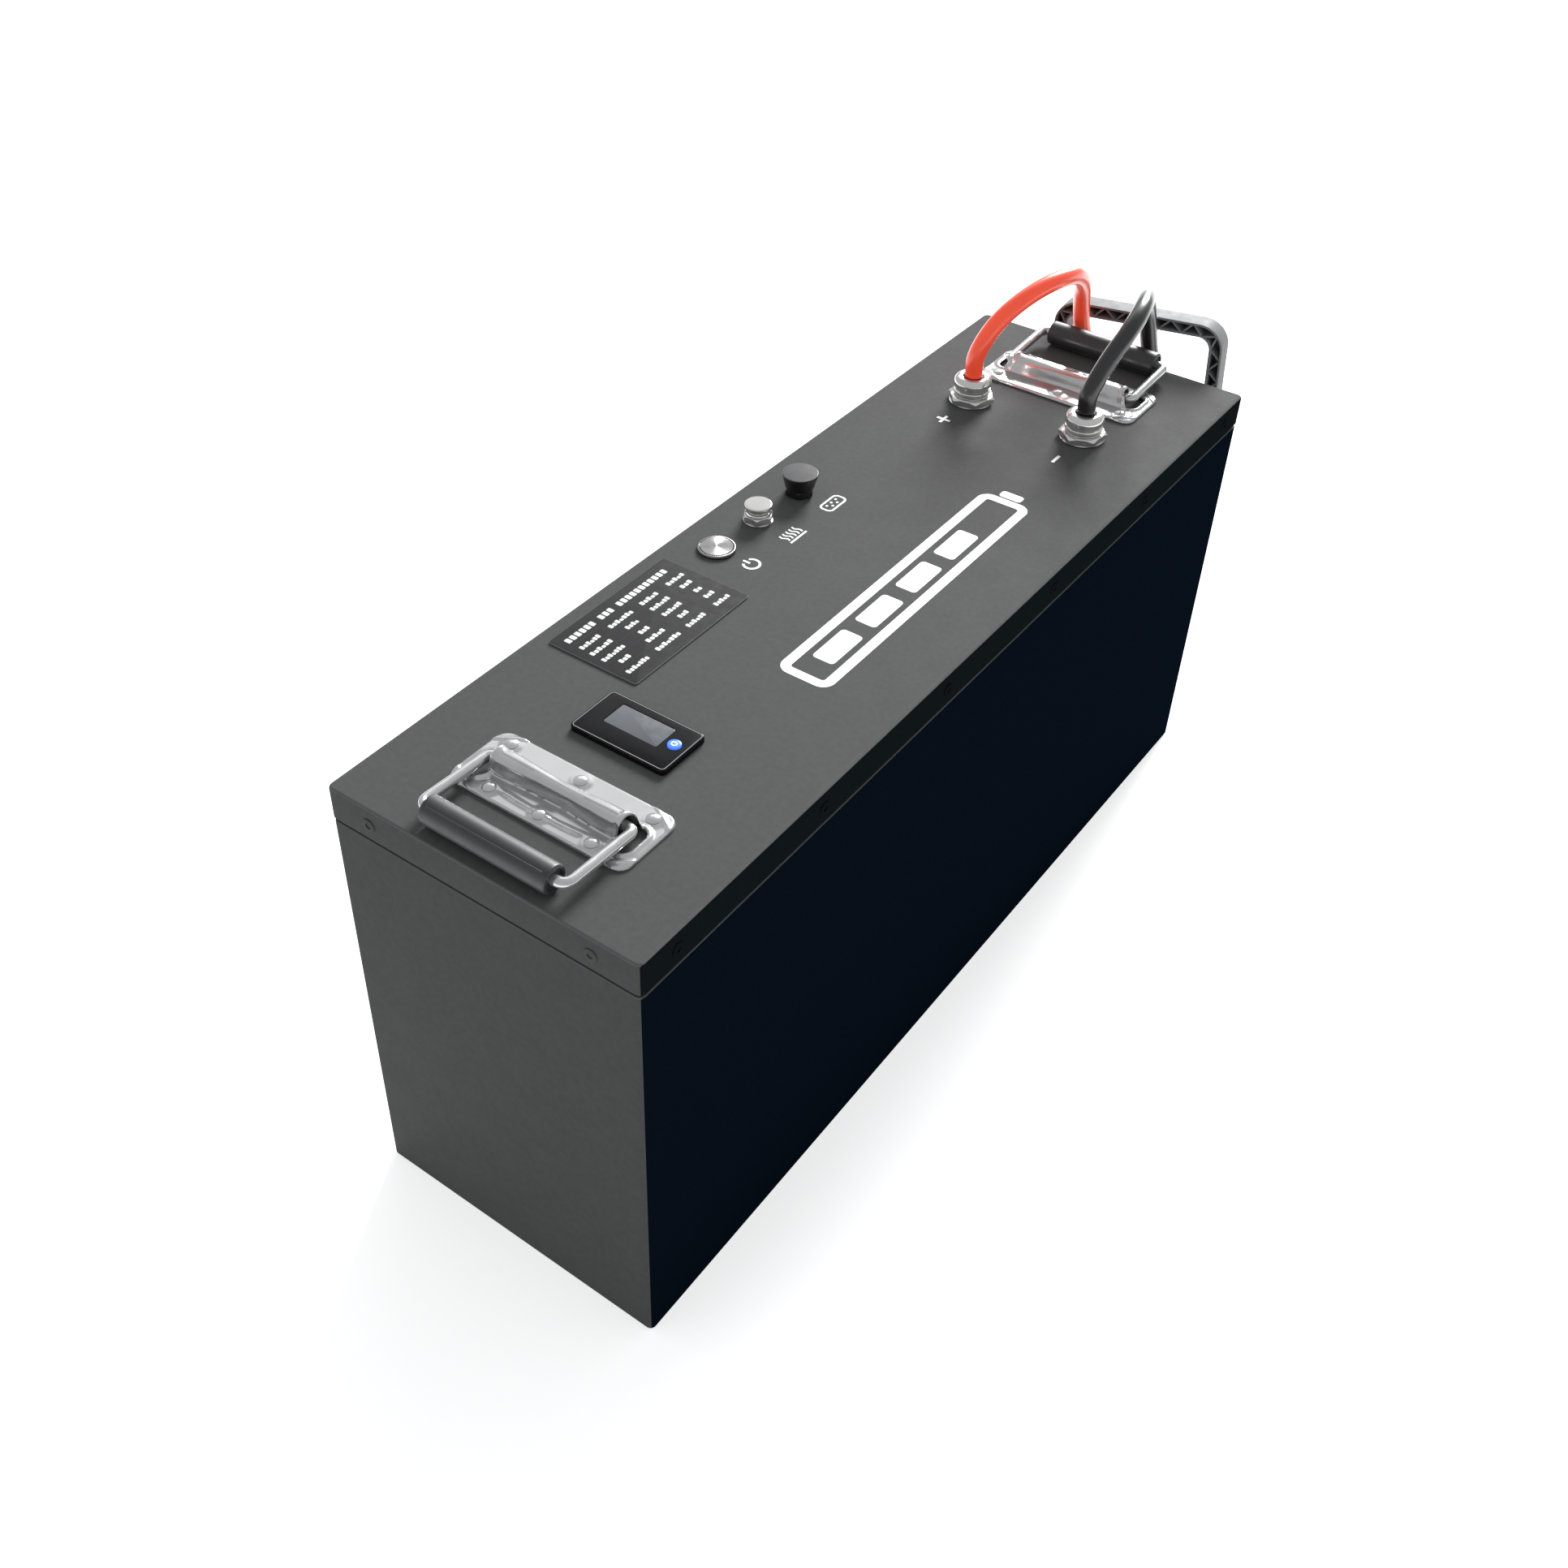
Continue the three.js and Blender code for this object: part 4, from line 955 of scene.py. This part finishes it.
def pressed_relief(x, y):
    """The raised rims, bosses, slanted corner beads and long bead pressed into the plate."""
    relief = RELIEF["hole"] * smooth(1 - abs(from_hole(x, y) - 1.3) / 2.6)
    for bx, by in BOLTS:
        relief += RELIEF["bolt"] * smooth(1.6 - math.hypot(x - bx, y - by) / 5)
    if abs(x) > 36:
        slant = 0.5 * (abs(x) - 50) + 0.8 * (abs(y) - 18)
        relief += RELIEF["corner"] * smooth(1 - abs(slant) / 2.2)
    off_bead = abs(y - 15.5 + 3 * (x / 40) ** 2)
    return relief + RELIEF["bead"] * smooth(1 - off_bead / 3) * smooth((30 - abs(x)) / 8)


def plate_height(x, y):
    """The top of the pressed handle plate at a point."""
    height = PLATE["top"] + ridge_height(x, y) + pressed_relief(x, y)
    inside = -outside_plate(x, y)
    edge = PLATE["edge"]
    if inside < edge:
        height -= edge - math.sqrt(max(edge ** 2 - (edge - inside) ** 2, 0))
    return max(height, PLATE["low"] + 0.3)


def grid_lines(half, coarse, fine, zones):
    """Coordinates from -half to half, closer together in the zones."""
    lines = [-half]
    while lines[-1] < half - 0.01:
        here = abs(lines[-1] + 0.01)
        near = any(low - fine <= here <= high for low, high in zones)
        lines.append(min(lines[-1] + (fine if near else coarse), half))
    return lines


def open_edges(quads):
    """The edges that only one quad has, in that quad's direction."""
    edges = {}
    for quad in quads:
        for a, b in zip(quad, quad[1:] + quad[:1]):
            if (b, a) in edges:
                del edges[b, a]
            else:
                edges[a, b] = True
    return list(edges)


def stamped_plate():
    """The handle plate as pressed sheet, with both arm holes left open."""
    xs = grid_lines(PLATE["width"] / 2, 0.9, 0.5, [(39, 57.5)])
    ys = grid_lines(PLATE["depth"] / 2, 0.8, 0.5, [(3, 14), (21, 23)])

    def kept(i, j):
        x, y = (xs[i] + xs[i + 1]) / 2, (ys[j] + ys[j + 1]) / 2
        return outside_plate(x, y) < 0 and from_hole(x, y) > 0

    quads = [
        [(i, j), (i + 1, j), (i + 1, j + 1), (i, j + 1)]
        for i in range(len(xs) - 1) for j in range(len(ys) - 1) if kept(i, j)
    ]
    number = {}
    for corner in (corner for quad in quads for corner in quad):
        number.setdefault(corner, len(number))
    edges = open_edges(quads)
    rim = {corner for edge in edges for corner in edge}
    top = []
    for i, j in number:
        x, y = onto_outline(xs[i], ys[j]) if (i, j) in rim else (xs[i], ys[j])
        top.append((x, y, plate_height(x, y)))
    low = [(x, y, max(PLATE["low"], z - PLATE["sheet"])) for x, y, z in top]
    count = len(top)
    faces = []
    for quad in quads:
        upper = tuple(number[corner] for corner in quad)
        faces += [upper, tuple(count + k for k in reversed(upper))]
    for a, b in edges:
        faces.append((number[b], number[a], count + number[a], count + number[b]))
    return top + low, faces


def onto_outline(x, y):
    """Moves a rim point straight onto the plate's outline or the hole's."""
    step = 0.01
    for _ in range(3):
        to_hole = abs(from_hole(x, y)) < abs(outside_plate(x, y))
        field = from_hole if to_hole else outside_plate
        here = field(x, y)
        gx = (field(x + step, y) - field(x - step, y)) / (2 * step)
        gy = (field(x, y + step) - field(x, y - step)) / (2 * step)
        size = max(gx * gx + gy * gy, 0.1)
        x -= here * gx / size
        y -= here * gy / size
    return x, y


def bolt_shape():
    """The six domed bolts with their backing plate under the lid."""
    shapes = [slab(108, 42, 3, -4.3, -2.3)]
    for x, y in BOLTS:
        dome = [(2, -3), (2, 2), (3.9, 2.3), (3.9, 2.75)]
        for angle in (15, 35, 55, 75, 88):
            t = math.radians(angle)
            dome.append((3.6 * math.cos(t), 2.75 + 1.35 * math.sin(t)))
        shapes.append(turned(dome, 32, centre=(x, y)))
    return together(*shapes)


def bail_shape():
    """The bent wire bail, with its two stubs turned in under the ridge."""
    arm, reach, high, axis = BAIL["arm_x"], BAIL["reach"], BAIL["grip_z"], RIDGE["axis_z"]
    stub = BAIL["stub_x"]
    corners = [(stub, 0, axis), (arm, 0, axis), (arm, reach, high), (-arm, reach, high),
               (-arm, 0, axis), (-stub, 0, axis)]
    path = bent_path(corners, [BAIL["stub"], BAIL["corner"], BAIL["corner"], BAIL["stub"]])
    return tube(path, BAIL["rod_r"])


def grip_shape():
    """A moulded rubber sleeve with soft rims, hollow ends and two parting lines."""
    radius, half = GRIP["radius"], GRIP["half"]
    end = [(7.2, 0), (7.7, 0.2), (7.95, 0.7), (radius, 1.5)]
    profile = [(3.3, 1.2 - half), (5.6, 1.2 - half), (6.0, -half)]
    profile += [(r, -half + z) for r, z in end]
    profile += [(radius, z) for z in (-20, 0, 20)]
    profile += [(r, half - z) for r, z in reversed(end)]
    profile += [(6.0, half), (5.6, half - 1.2), (3.3, half - 1.2)]
    sleeve = turned(profile, 56, loop=True)
    line = slab(2 * PARTING_LINE["half"], PARTING_LINE["width"], 0.4, radius - 0.4,
                radius + PARTING_LINE["proud"], edge=0.2, steps=3)
    centre = Matrix.Translation((0, BAIL["reach"], BAIL["grip_z"]))
    shapes = [moved(sleeve, centre @ Matrix.Rotation(math.pi / 2, 4, "Y"))]
    for angle in PARTING_LINE["angles"]:
        shapes.append(moved(line, centre @ Matrix.Rotation(math.radians(angle), 4, "X")))
    return together(*shapes)


def add_handle(end, turn):
    """One folding handle; its hinge line is the middle of its spring and ridge."""
    at = on_lid(f"{end}_handle_plate")
    common = {"at": at, "turn": (0, 0, turn)}
    plate = piece(f"{end}_pressed_plate", stamped_plate(), "chrome",
                  stands_for=[f"{end}_handle_plate"], crease=50, **common)
    # The plate's level faces take the darker chrome, as painted shade.
    repaint(plate, "shaded_level_chrome", faces_up)
    piece(f"{end}_plate_bolts", bolt_shape(), "chrome", "case", "zinc",
          stands_for=[f"{end}_handle_backing_plate"], **common)
    piece(f"{end}_bail_rod", bail_shape(), "chrome", f"{end}_bail",
          stands_for=[f"{end}_handle_bail"], crease=60, **common)
    piece(f"{end}_rubber_grip", grip_shape(), "grip_rubber", f"{end}_bail",
          stands_for=[f"{end}_handle_grip"], crease=60, **common)


# ---- meter

METER = {"width": 62, "depth": 36, "corner": 3}
METER_BODY = {"width": 56, "depth": 30, "low": -15}
# A pale stroke round the meter's face, as a painted highlight of its rounded edge.
HIGHLIGHT_LINE = {"inset": 2.2, "corner": 2.2, "stroke": 0.45}
WINDOW_CORNER = 1.2


def meter_shape(top):
    """The meter's bezel with a rounded front edge, and its body below the lid."""
    face = slab(METER["width"], METER["depth"], METER["corner"], 0.3, top, edge=0.7, steps=8)
    body = slab(METER_BODY["width"], METER_BODY["depth"], 1, METER_BODY["low"], 0.8)
    return together(face, body)


def add_display(housing, at, top):
    """The window in its recess, and a pale line round the bezel as a painted highlight of its
    rounded edge.
    """
    low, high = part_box("meter_window")
    middle_x, middle_y, _ = (middle("meter_window") - at) / MM
    width, depth = (high.x - low.x) / MM, (high.y - low.y) / MM
    carve(housing, slab(width + 0.5, depth + 0.5, WINDOW_CORNER, top - 1.2, top + 1,
                        centre=(middle_x, middle_y)))
    # The pale line is a painted highlight of the bezel's rounded edge.
    highlight_line = frame_line(METER["width"] - HIGHLIGHT_LINE["inset"], METER["depth"] - HIGHLIGHT_LINE["inset"],
                        HIGHLIGHT_LINE["corner"], HIGHLIGHT_LINE["stroke"], top - 0.1, top + 0.03)
    piece("meter_highlight_line", highlight_line, "edge_highlight", "case", "label_film", at=at)
    glass = slab(width, depth, WINDOW_CORNER, top - 1.1, top - 0.15, edge=0.25,
                 centre=(middle_x, middle_y))
    piece("meter_display", glass, "display_glass", at=at, stands_for=["meter_window"])


def add_meter_button(housing, at, top):
    """The domed power button in its bore, with a lit mark on it."""
    button = middle("meter_power_button")
    middle_x, middle_y, _ = (button - at) / MM
    radius = (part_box("meter_power_button")[1].x - button.x) / MM
    bore = turned([(radius + 0.3, top - 2.6), (radius + 0.3, top + 1)], 40)
    carve(housing, shifted(bore, middle_x, middle_y))
    dome = [(radius, -1.9), (radius, 0.3)]
    dome += [(radius - 0.5 + x, 0.3 + z) for x, z in arc(0.5, 0, 80)]
    dome += [(radius * 0.5, 0.86), (0.1, 0.9)]
    button_at = Vector((button.x, button.y, LID_TOP + top * MM))
    piece("meter_button_dome", turned(dome, 40), "button_blue", "meter_button",
          at=button_at, stands_for=["meter_power_button"])
    piece("meter_button_mark", power_symbol(1.5, 0.5, 0.8, 1.02), "lit_mark", "meter_button",
          "print_white", at=button_at)


def add_meter():
    at = on_lid("meter_housing")
    top = (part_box("meter_housing")[1].z - LID_TOP) / MM
    housing = piece("meter_bezel", meter_shape(top), "meter_face", "case", "black_plastic",
                    at=at, stands_for=["meter_housing"])
    add_display(housing, at, top)
    add_meter_button(housing, at, top)


# ---- label

LABEL_COLUMNS = (-37.5, -11, 14, 38)
# Each row's place across the label and the length of its run in every column.
LABEL_ROWS = (
    (-12.5, (16, 20, 15, 15)), (-4.5, (17.5, 10, 16, 9.5)), (4, (18, 8, 16, 6)),
    (12, (8.5, 15, 8, 8)), (21, (18, 20.5, 16, 13)),
)
LABEL_RUN = {
    "width": 3.4, "pitch": 2.75, "length": 2.35, "gap_every": 8,
    "sizes": (1.0, 0.8, 1.0, 0.66, 0.9),
}
RULE = {"stroke": 0.25, "margin": 3}
LABEL_HEADER = {"x": -22.5, "from_y": -46, "to_y": 42, "width": 4.4, "pitch": 4, "length": 3.1}
HEADER_GAPS = (-21, -3)
RULE_FROM_X = -17.6


def ribbon(points, width, low, high, closed=False):
    """A flat stroke of constant width along points, with mitred corners."""
    path = [Vector(p) for p in points]
    count = len(path)
    left, right = [], []
    for i, point in enumerate(path):
        before = path[i - 1] if closed or i > 0 else None
        after = path[(i + 1) % count] if closed or i < count - 1 else None
        a = (point - before).normalized() if before else (after - point).normalized()
        b = (after - point).normalized() if after else a
        across = Vector((-(a.y + b.y), a.x + b.x)).normalized()
        reach = width / 2 / max(across.dot(Vector((-a.y, a.x))), 0.3)
        left.append(point + across * reach)
        right.append(point - across * reach)
    if closed:
        rings = [[(*p, z) for p in side] for side, z in
                 ((right, low), (right, high), (left, high), (left, low))]
        return loft(rings, loop=True)
    outline = right + left[::-1]
    return prism([tuple(p) for p in outline], low, high)


def frame_line(width, length, corner, stroke, low, high, steps=6):
    """A closed stroke round a rectangle with rounded corners."""
    outline = rounded_rectangle(width, length, corner, 0, steps)
    return ribbon([(x, y) for x, y, _ in outline], stroke, low, high, closed=True)


def print_bar(x, y, across, along, top):
    """One short printed bar with rounded corners."""
    return slab(across, along, 0.7, top - 0.1, top + 0.08, edge=0.02, steps=3, centre=(x, y))


def print_run(x, first, last, top):
    """A line of short bars that nearly touch, in place of a line of small print."""
    sizes = LABEL_RUN["sizes"]
    width, pitch = LABEL_RUN["width"], LABEL_RUN["pitch"]
    count = max(round((last - first) / pitch), 2)
    step = (last - first) / count
    bars = []
    for k in range(count):
        if k % LABEL_RUN["gap_every"] == LABEL_RUN["gap_every"] - 1:
            continue
        across = width * sizes[k % len(sizes)]
        along = LABEL_RUN["length"] * step / pitch
        y = first + step * (k + 0.5)
        bars.append(print_bar(x + (width - across) / 2, y, across, along, top))
    return bars


def print_header(top):
    """The heading's row of larger bars, with two gaps in it."""
    head = LABEL_HEADER
    count = round((head["to_y"] - head["from_y"]) / head["pitch"])
    places = [head["from_y"] + head["pitch"] * (k + 0.5) for k in range(count)]
    return [
        print_bar(head["x"], y, head["width"], head["length"], top)
        for y in places if min(abs(y - gap) for gap in HEADER_GAPS) > head["pitch"] / 2
    ]


def label_rules(half_width, half_length, top):
    """Thin rules between the rows and between the columns."""
    rows = [x for x, _ in LABEL_ROWS]
    end_x, end_y = half_width - RULE["margin"], half_length - RULE["margin"]
    lines = [
        [(x, -end_y), (x, end_y)]
        for x in [RULE_FROM_X, *[(a + b) / 2 for a, b in zip(rows, rows[1:])]]
    ]
    for a, b in zip(LABEL_COLUMNS, LABEL_COLUMNS[1:]):
        lines.append([(RULE_FROM_X, (a + b) / 2), (end_x, (a + b) / 2)])
    return together(*[ribbon(line, RULE["stroke"], top - 0.1, top + 0.04) for line in lines])


def add_label():
    """A film label: pale edges as a painted highlight, thin rules and unlettered bars where the
    print would be.
    """
    at = on_lid("label_plate")
    low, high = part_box("label_plate")
    width, length = (high.x - low.x) / MM, (high.y - low.y) / MM
    top = (high.z - LID_TOP) / MM
    film = piece("label_film_sheet", slab(width, length, 2, 0.3, top, edge=0.35), "label_film",
                 at=at, stands_for=["label_plate"])
    # The film's sides and rounded edge are painted pale, as a highlight.
    repaint(film, "edge_highlight", lambda normal: normal.z < 0.9)
    piece("label_rules", label_rules(width / 2, length / 2, top), "label_line", "case",
          "label_film", at=at)
    bars = print_header(top)
    for x, runs in LABEL_ROWS:
        for y, run in zip(LABEL_COLUMNS, runs):
            bars += print_run(x, y - run / 2, y + run / 2, top)
    piece("label_print", together(*bars), "label_ink", "case", "print_white", at=at)


# ---- printed marks on the lid

# The bottom and top of the print, from the lid's top face.
PRINT = (-0.02, 0.1)


def power_symbol(radius, stroke, low, high):
    """The usual on-off sign: an open ring with a short bar in its gap."""
    circle = ribbon(arc(radius, 125, 415, 28), stroke, low, high)
    return together(circle, ribbon([(0, radius * 0.25), (0, radius * 1.25)], stroke, low, high))


def vent_symbol():
    """Five wavy lines rising from a bar, for the pressure relief valve."""
    shapes = [ribbon([(-8.2, -4.6), (8.2, -4.6)], 1.4, *PRINT)]
    for x in (-6.4, -3.2, 0, 3.2, 6.4):
        wave = [(x + 0.8 * math.sin(math.pi * k / 5), -2.7 + 0.75 * k) for k in range(11)]
        shapes.append(ribbon(wave, 1.2, *PRINT))
    return together(*shapes)


def port_symbol():
    """A flat socket with five pins, for the data port."""
    shapes = [frame_line(18, 8.6, 3, 1.4, *PRINT)]
    for x, y in ((-4.8, 1.3), (0, 1.3), (4.8, 1.3), (-2.4, -1.5), (2.4, -1.5)):
        shapes.append(turned([(0.9, z) for z in PRINT], 16, centre=(x, y)))
    return together(*shapes)


POLE_SIGN = {"reach": 4.8, "half": 1.05}


def plus_symbol():
    """The sign of the positive pole."""
    size, stroke = POLE_SIGN["reach"], POLE_SIGN["half"]
    points = []
    for quarter in range(4):
        turn = Matrix.Rotation(quarter * math.pi / 2, 2)
        points += [turn @ Vector(p) for p in ((stroke, -stroke), (size, -stroke), (size, stroke))]
    return prism([tuple(p) for p in points], *PRINT)


def minus_symbol():
    """The sign of the negative pole."""
    size, stroke = POLE_SIGN["reach"], POLE_SIGN["half"]
    return prism([(-size, -stroke), (size, -stroke), (size, stroke), (-size, stroke)], *PRINT)


PICTOGRAM = {"x": 38.5, "half_length": 112, "half_width": 17, "stroke": 6, "corner": 5}
NUB = {"width": 15, "length": 7, "corner": 2.2, "gap": 1.2}
CHARGE_BAR = {"width": 14, "length": 31, "corner": 2.5, "first": -76, "pitch": 42, "count": 4}


def flat_block(block, y):
    """One flat printed block of the pictogram, at its place along the lid."""
    return slab(block["width"], block["length"], block["corner"], *PRINT, edge=0.02,
                centre=(0, y))


def pictogram_shape():
    """A plain battery sign: an outline with a terminal nub and four charge bars inside."""
    half_w, half_l, stroke = (PICTOGRAM[k] for k in ("half_width", "half_length", "stroke"))
    shapes = [frame_line(2 * half_w - stroke, 2 * half_l - stroke, PICTOGRAM["corner"], stroke,
                         *PRINT, steps=8)]
    shapes.append(flat_block(NUB, half_l + NUB["gap"] + NUB["length"] / 2))
    for k in range(CHARGE_BAR["count"]):
        shapes.append(flat_block(CHARGE_BAR, CHARGE_BAR["first"] + CHARGE_BAR["pitch"] * k))
    return together(*shapes)


# Each sign's shape and its place on the lid.
SIGNS = {
    "switch_mark": (power_symbol(4.9, 1.6, *PRINT), (-46, -40)),
    "valve_mark": (vent_symbol(), (-45, 0)),
    "port_mark": (port_symbol(), (-45, 43.5)),
    "plus_mark": (plus_symbol(), (-44.6, 173.5)),
    "minus_mark": (minus_symbol(), (38.7, 173.5)),
}


def add_marks():
    """Generic signs beside the fittings, turned to read from the right-hand side."""
    for name, (shape, (x, y)) in SIGNS.items():
        piece(name, shape, "print_white", at=(x * MM, y * MM, LID_TOP), turn=(0, 0, 90))
    piece("battery_pictogram", pictogram_shape(), "print_white",
          at=(PICTOGRAM["x"] * MM, 0, LID_TOP))


# ---- switch, relief valve, data port

def add_switch():
    """A low turned bezel with a slightly domed disc that sinks into it."""
    at = on_lid("switch_body")
    bezel = [(10.8, -24), (10.8, 0.3), (11.3, 0.3), (11.6, 0.6), (11.6, 1.4)]
    bezel += [(10.8 + x, 1.4 + z) for x, z in arc(0.8, 10, 90)]
    bezel += [(10.4, 2.2), (10.2, 2.0), (10.2, -6)]
    piece("switch_bezel", turned(bezel, 96), "spun_nickel", "case", "nickel", at=at,
          stands_for=["switch_body"])
    cap = [(9.9, -3), (9.9, 2.1), (9.65, 2.35), (7.5, 2.48), (4.0, 2.65), (0.05, 2.75)]
    piece("switch_disc", turned(cap, 96), "spun_nickel", "switch_button", "nickel", at=at,
          stands_for=["switch_cap"])


def add_relief_valve():
    """A hexagonal base on its washer, and a round cap on a stem that lifts."""
    at = on_lid("relief_valve_body")
    shank = turned([(5.8, -12), (5.8, 0.6)], 48)
    washer = turned([(8.9, 0.3), (9.2, 0.45), (9.2, 0.7), (8.9, 0.85)], 64)
    collar = [(8.15, 4.8), (8.15, 5.9), (7.7, 7.0), (6.4, 7.0), (6.3, 7.2), (6.3, 8.7), (2.9, 8.7),
              (2.9, 5)]
    body = together(shank, washer, hex_nut(16.7, 0.85, 5.2), turned(collar, 64))
    piece("relief_valve_base", body, "nickel", at=at, stands_for=["relief_valve_body"])
    cap = [(2.6, -8), (2.6, 9.0), (7.7, 9.0), (8.2, 9.2), (8.4, 9.6), (8.4, 11.1)]
    cap += [(7.7 + x, 11.1 + z) for x, z in arc(0.7, 15, 90)]
    cap += [(4.0, 11.84), (0.05, 11.86)]
    disc = piece("relief_valve_top", turned(cap, 72), "nickel", "relief_cap", at=at,
                 stands_for=["relief_valve_cap"])
    # The cap's level faces take the darker nickel, as painted shade.
    repaint(disc, "shaded_level_nickel", faces_up)


def add_data_port():
    """A hexagonal socket with four pins, under a flared dust cap."""
    at = on_lid("data_port_socket")
    shank = turned([(7, -16), (7, 1)], 48)
    tube_wall = [(7, 4.7), (7, 10.4), (6.7, 10.8), (5.9, 10.8), (5.6, 10.5), (5.6, 1.5)]
    pins = [
        turned([(0.8, 1), (0.8, 6.8), (0.4, 7.2)], 16, centre=(x, y))
        for x, y in arc(2.8, 45, 315, 3)
    ]
    socket = together(shank, hex_nut(16.4, 0.3, 5.2), turned(tube_wall, 56), *pins)
    piece("data_port_tube", socket, "black_plastic", at=at, stands_for=["data_port_socket"])
    cap = [(7.6, 5.6), (8.9, 5.6), (9.2, 5.9), (9.6, 7.6), (10.3, 10.4), (11.1, 13.0), (11.3, 13.6),
           (11.3, 14.3)]
    cap += [(10.8 + x, 14.3 + z) for x, z in arc(0.5, 15, 90)]
    cavity = [(0.05, 14.8), (0.05, 12.4), (7.2, 12.4), (7.5, 12.1)]
    cover = piece("data_port_dust_cap", turned(cap + cavity, 72, loop=True), "black_plastic",
                  "port_cap", at=at, stands_for=["data_port_cap"])
    # The cap's level top is painted lighter grey, as a sheen from the light above.
    repaint(cover, "cap_top_sheen", faces_up)


# ---- cable glands

GLAND_TURNS = {"positive": 11, "negative": 24}


def gland_nut_shape():
    """Domed clamping nut: a ring, a waist and a polished dome round the cable."""
    profile = [(10.7, 5.5), (11.6, 5.5), (11.8, 5.8), (11.8, 7.6), (12.3, 8.0), (12.5, 8.5),
               (12.5, 9.2), (12.2, 9.7), (11.5, 10.0), (11.4, 10.9), (11.9, 11.3), (12.5, 11.9),
               (12.6, 12.6), (12.6, 13.8)]
    profile += [(8.6 + x, 13.9 + 1.12 * z) for x, z in arc(4.0, 8, 82, 7)]
    profile += [(8.6, 18.4), (7.2, 18.2), (6.9, 17.8), (6.9, 16.9), (8.8, 16.9), (8.8, 11.7),
                (10.7, 11.7)]
    return turned(profile, 80, loop=True)


def gland_body_shape():
    """Hexagon flange on a sealing washer, with the thread that the nut sits on."""
    thread = []
    for k in range(6):
        z = 5.7 + 0.9 * k
        thread += [(10.4, z), (10.0, z + 0.45)]
    stem = [(6.6, -14), (10.4, -14), (10.4, 5.2), *thread, (10.2, 11.4), (6.6, 11.4)]
    washer = turned([(10.5, 0.3), (14.2, 0.3), (14.6, 0.5), (14.6, 0.8), (14.2, 1.0), (10.5, 1.0)],
                    72, loop=True)
    return together(turned(stem, 64, loop=True), washer, hex_nut(27.6, 1.0, 5.3, bore=10.3))


def gland_seal_shape():
    """The rubber ring that the nut squeezes onto the cable."""
    profile = [(6.25, 12.0), (8.5, 12.0), (8.5, 16.6), (6.8, 16.6), (6.8, 17.8), (6.55, 18.4),
               (6.2, 18.5)]
    return turned(profile, 48, loop=True)


def add_glands():
    """Both cable glands; each base is turned on its thread as it was tightened."""
    for pole, turn in GLAND_TURNS.items():
        at = on_lid(f"{pole}_gland_body")
        piece(f"{pole}_gland_base", gland_body_shape(), "nickel", at=at,
              turn=(0, 0, turn), stands_for=[f"{pole}_gland_body"])
        piece(f"{pole}_gland_dome", gland_nut_shape(), "nickel", at=at,
              stands_for=[f"{pole}_gland_nut"])
        piece(f"{pole}_gland_lip", gland_seal_shape(), "black_rubber", at=at,
              stands_for=[f"{pole}_gland_seal"])


# ---- pieces kept as the CAD made them

KEPT_LOOKS = {
    "lid_gasket": "black_rubber",
    "cell_base_pad": "black_rubber",
    "cell_clamp_frame": "aluminium",
    "battery_manager": "aluminium",
    "busbar_carrier": "black_plastic",
    "positive_inner_lead": "red_sheath",
    "negative_inner_lead": "black_sheath",
}


def dress_kept_nodes():
    """Gives each CAD piece that stays its material: named above, wrapped cells, or zinc."""
    for name, node in NODES.items():
        if node.hide_render:
            continue
        look = KEPT_LOOKS.get(name, "cell_wrap" if name.startswith("cell_") else "zinc")
        node.data.materials.clear()
        node.data.materials.append(LOOKS[look])


# ---- floor and light

FLOOR_HALF = 12.0  # metres
FLOOR_GAP = 0.5
SKY = {"Color": (0.97, 0.985, 1, 1), "Strength": 0.62}


def add_floor():
    """A wide pale floor, a hair below the battery so that the two don't share a plane."""
    half = FLOOR_HALF
    corners = [(-half, -half, 0), (half, -half, 0), (half, half, 0), (-half, half, 0)]
    mesh = bpy.data.meshes.new("studio_floor")
    mesh.from_pydata(corners, [], [(0, 1, 2, 3)])
    look = Look("floor", (0.86, 0.86, 0.86), 0.9, Specular_IOR_Level=0.1,
                Emission_Color=(1, 1, 1, 1), Emission_Strength=0.55)
    mesh.materials.append(look.material)
    floor = new_object("studio_floor", mesh)
    floor.location.z = -FLOOR_GAP * MM


def add_world():
    world = bpy.data.worlds.new("studio")
    world.use_nodes = True
    for socket, value in SKY.items():
        world.node_tree.nodes["Background"].inputs[socket].default_value = value
    bpy.context.scene.world = world


def add_light(name, kind, place, target, energy, **settings):
    """A light at a place, turned to its target."""
    data = bpy.data.lights.new(name, kind)
    data.energy = energy
    set_all(data, settings)
    light = new_object(name, data)
    light.location = place
    light.rotation_euler = (Vector(target) - Vector(place)).to_track_quat("-Z", "Y").to_euler()


def add_studio():
    """A pale floor, an even sky, a low broad key from behind and a softbox overhead."""
    add_floor()
    add_world()
    add_light("key", "SUN", (-0.5, 2.0, 1.1), (0, 0, 0.1), 7, angle=math.radians(24))
    add_light("softbox", "AREA", (-1.1, 1.6, 1.75), (0, 0.1, 0.3), 6, shape="RECTANGLE", size=1.7,
              size_y=1.1)
    bpy.context.scene.view_settings.view_transform = "Standard"


# ---- the whole scene

add_camera()
add_cables()
add_studio()
add_shell()
add_handle("front", 180)
add_handle("rear", 0)
add_meter()
add_label()
add_marks()
add_switch()
add_relief_valve()
add_data_port()
add_glands()
dress_kept_nodes()
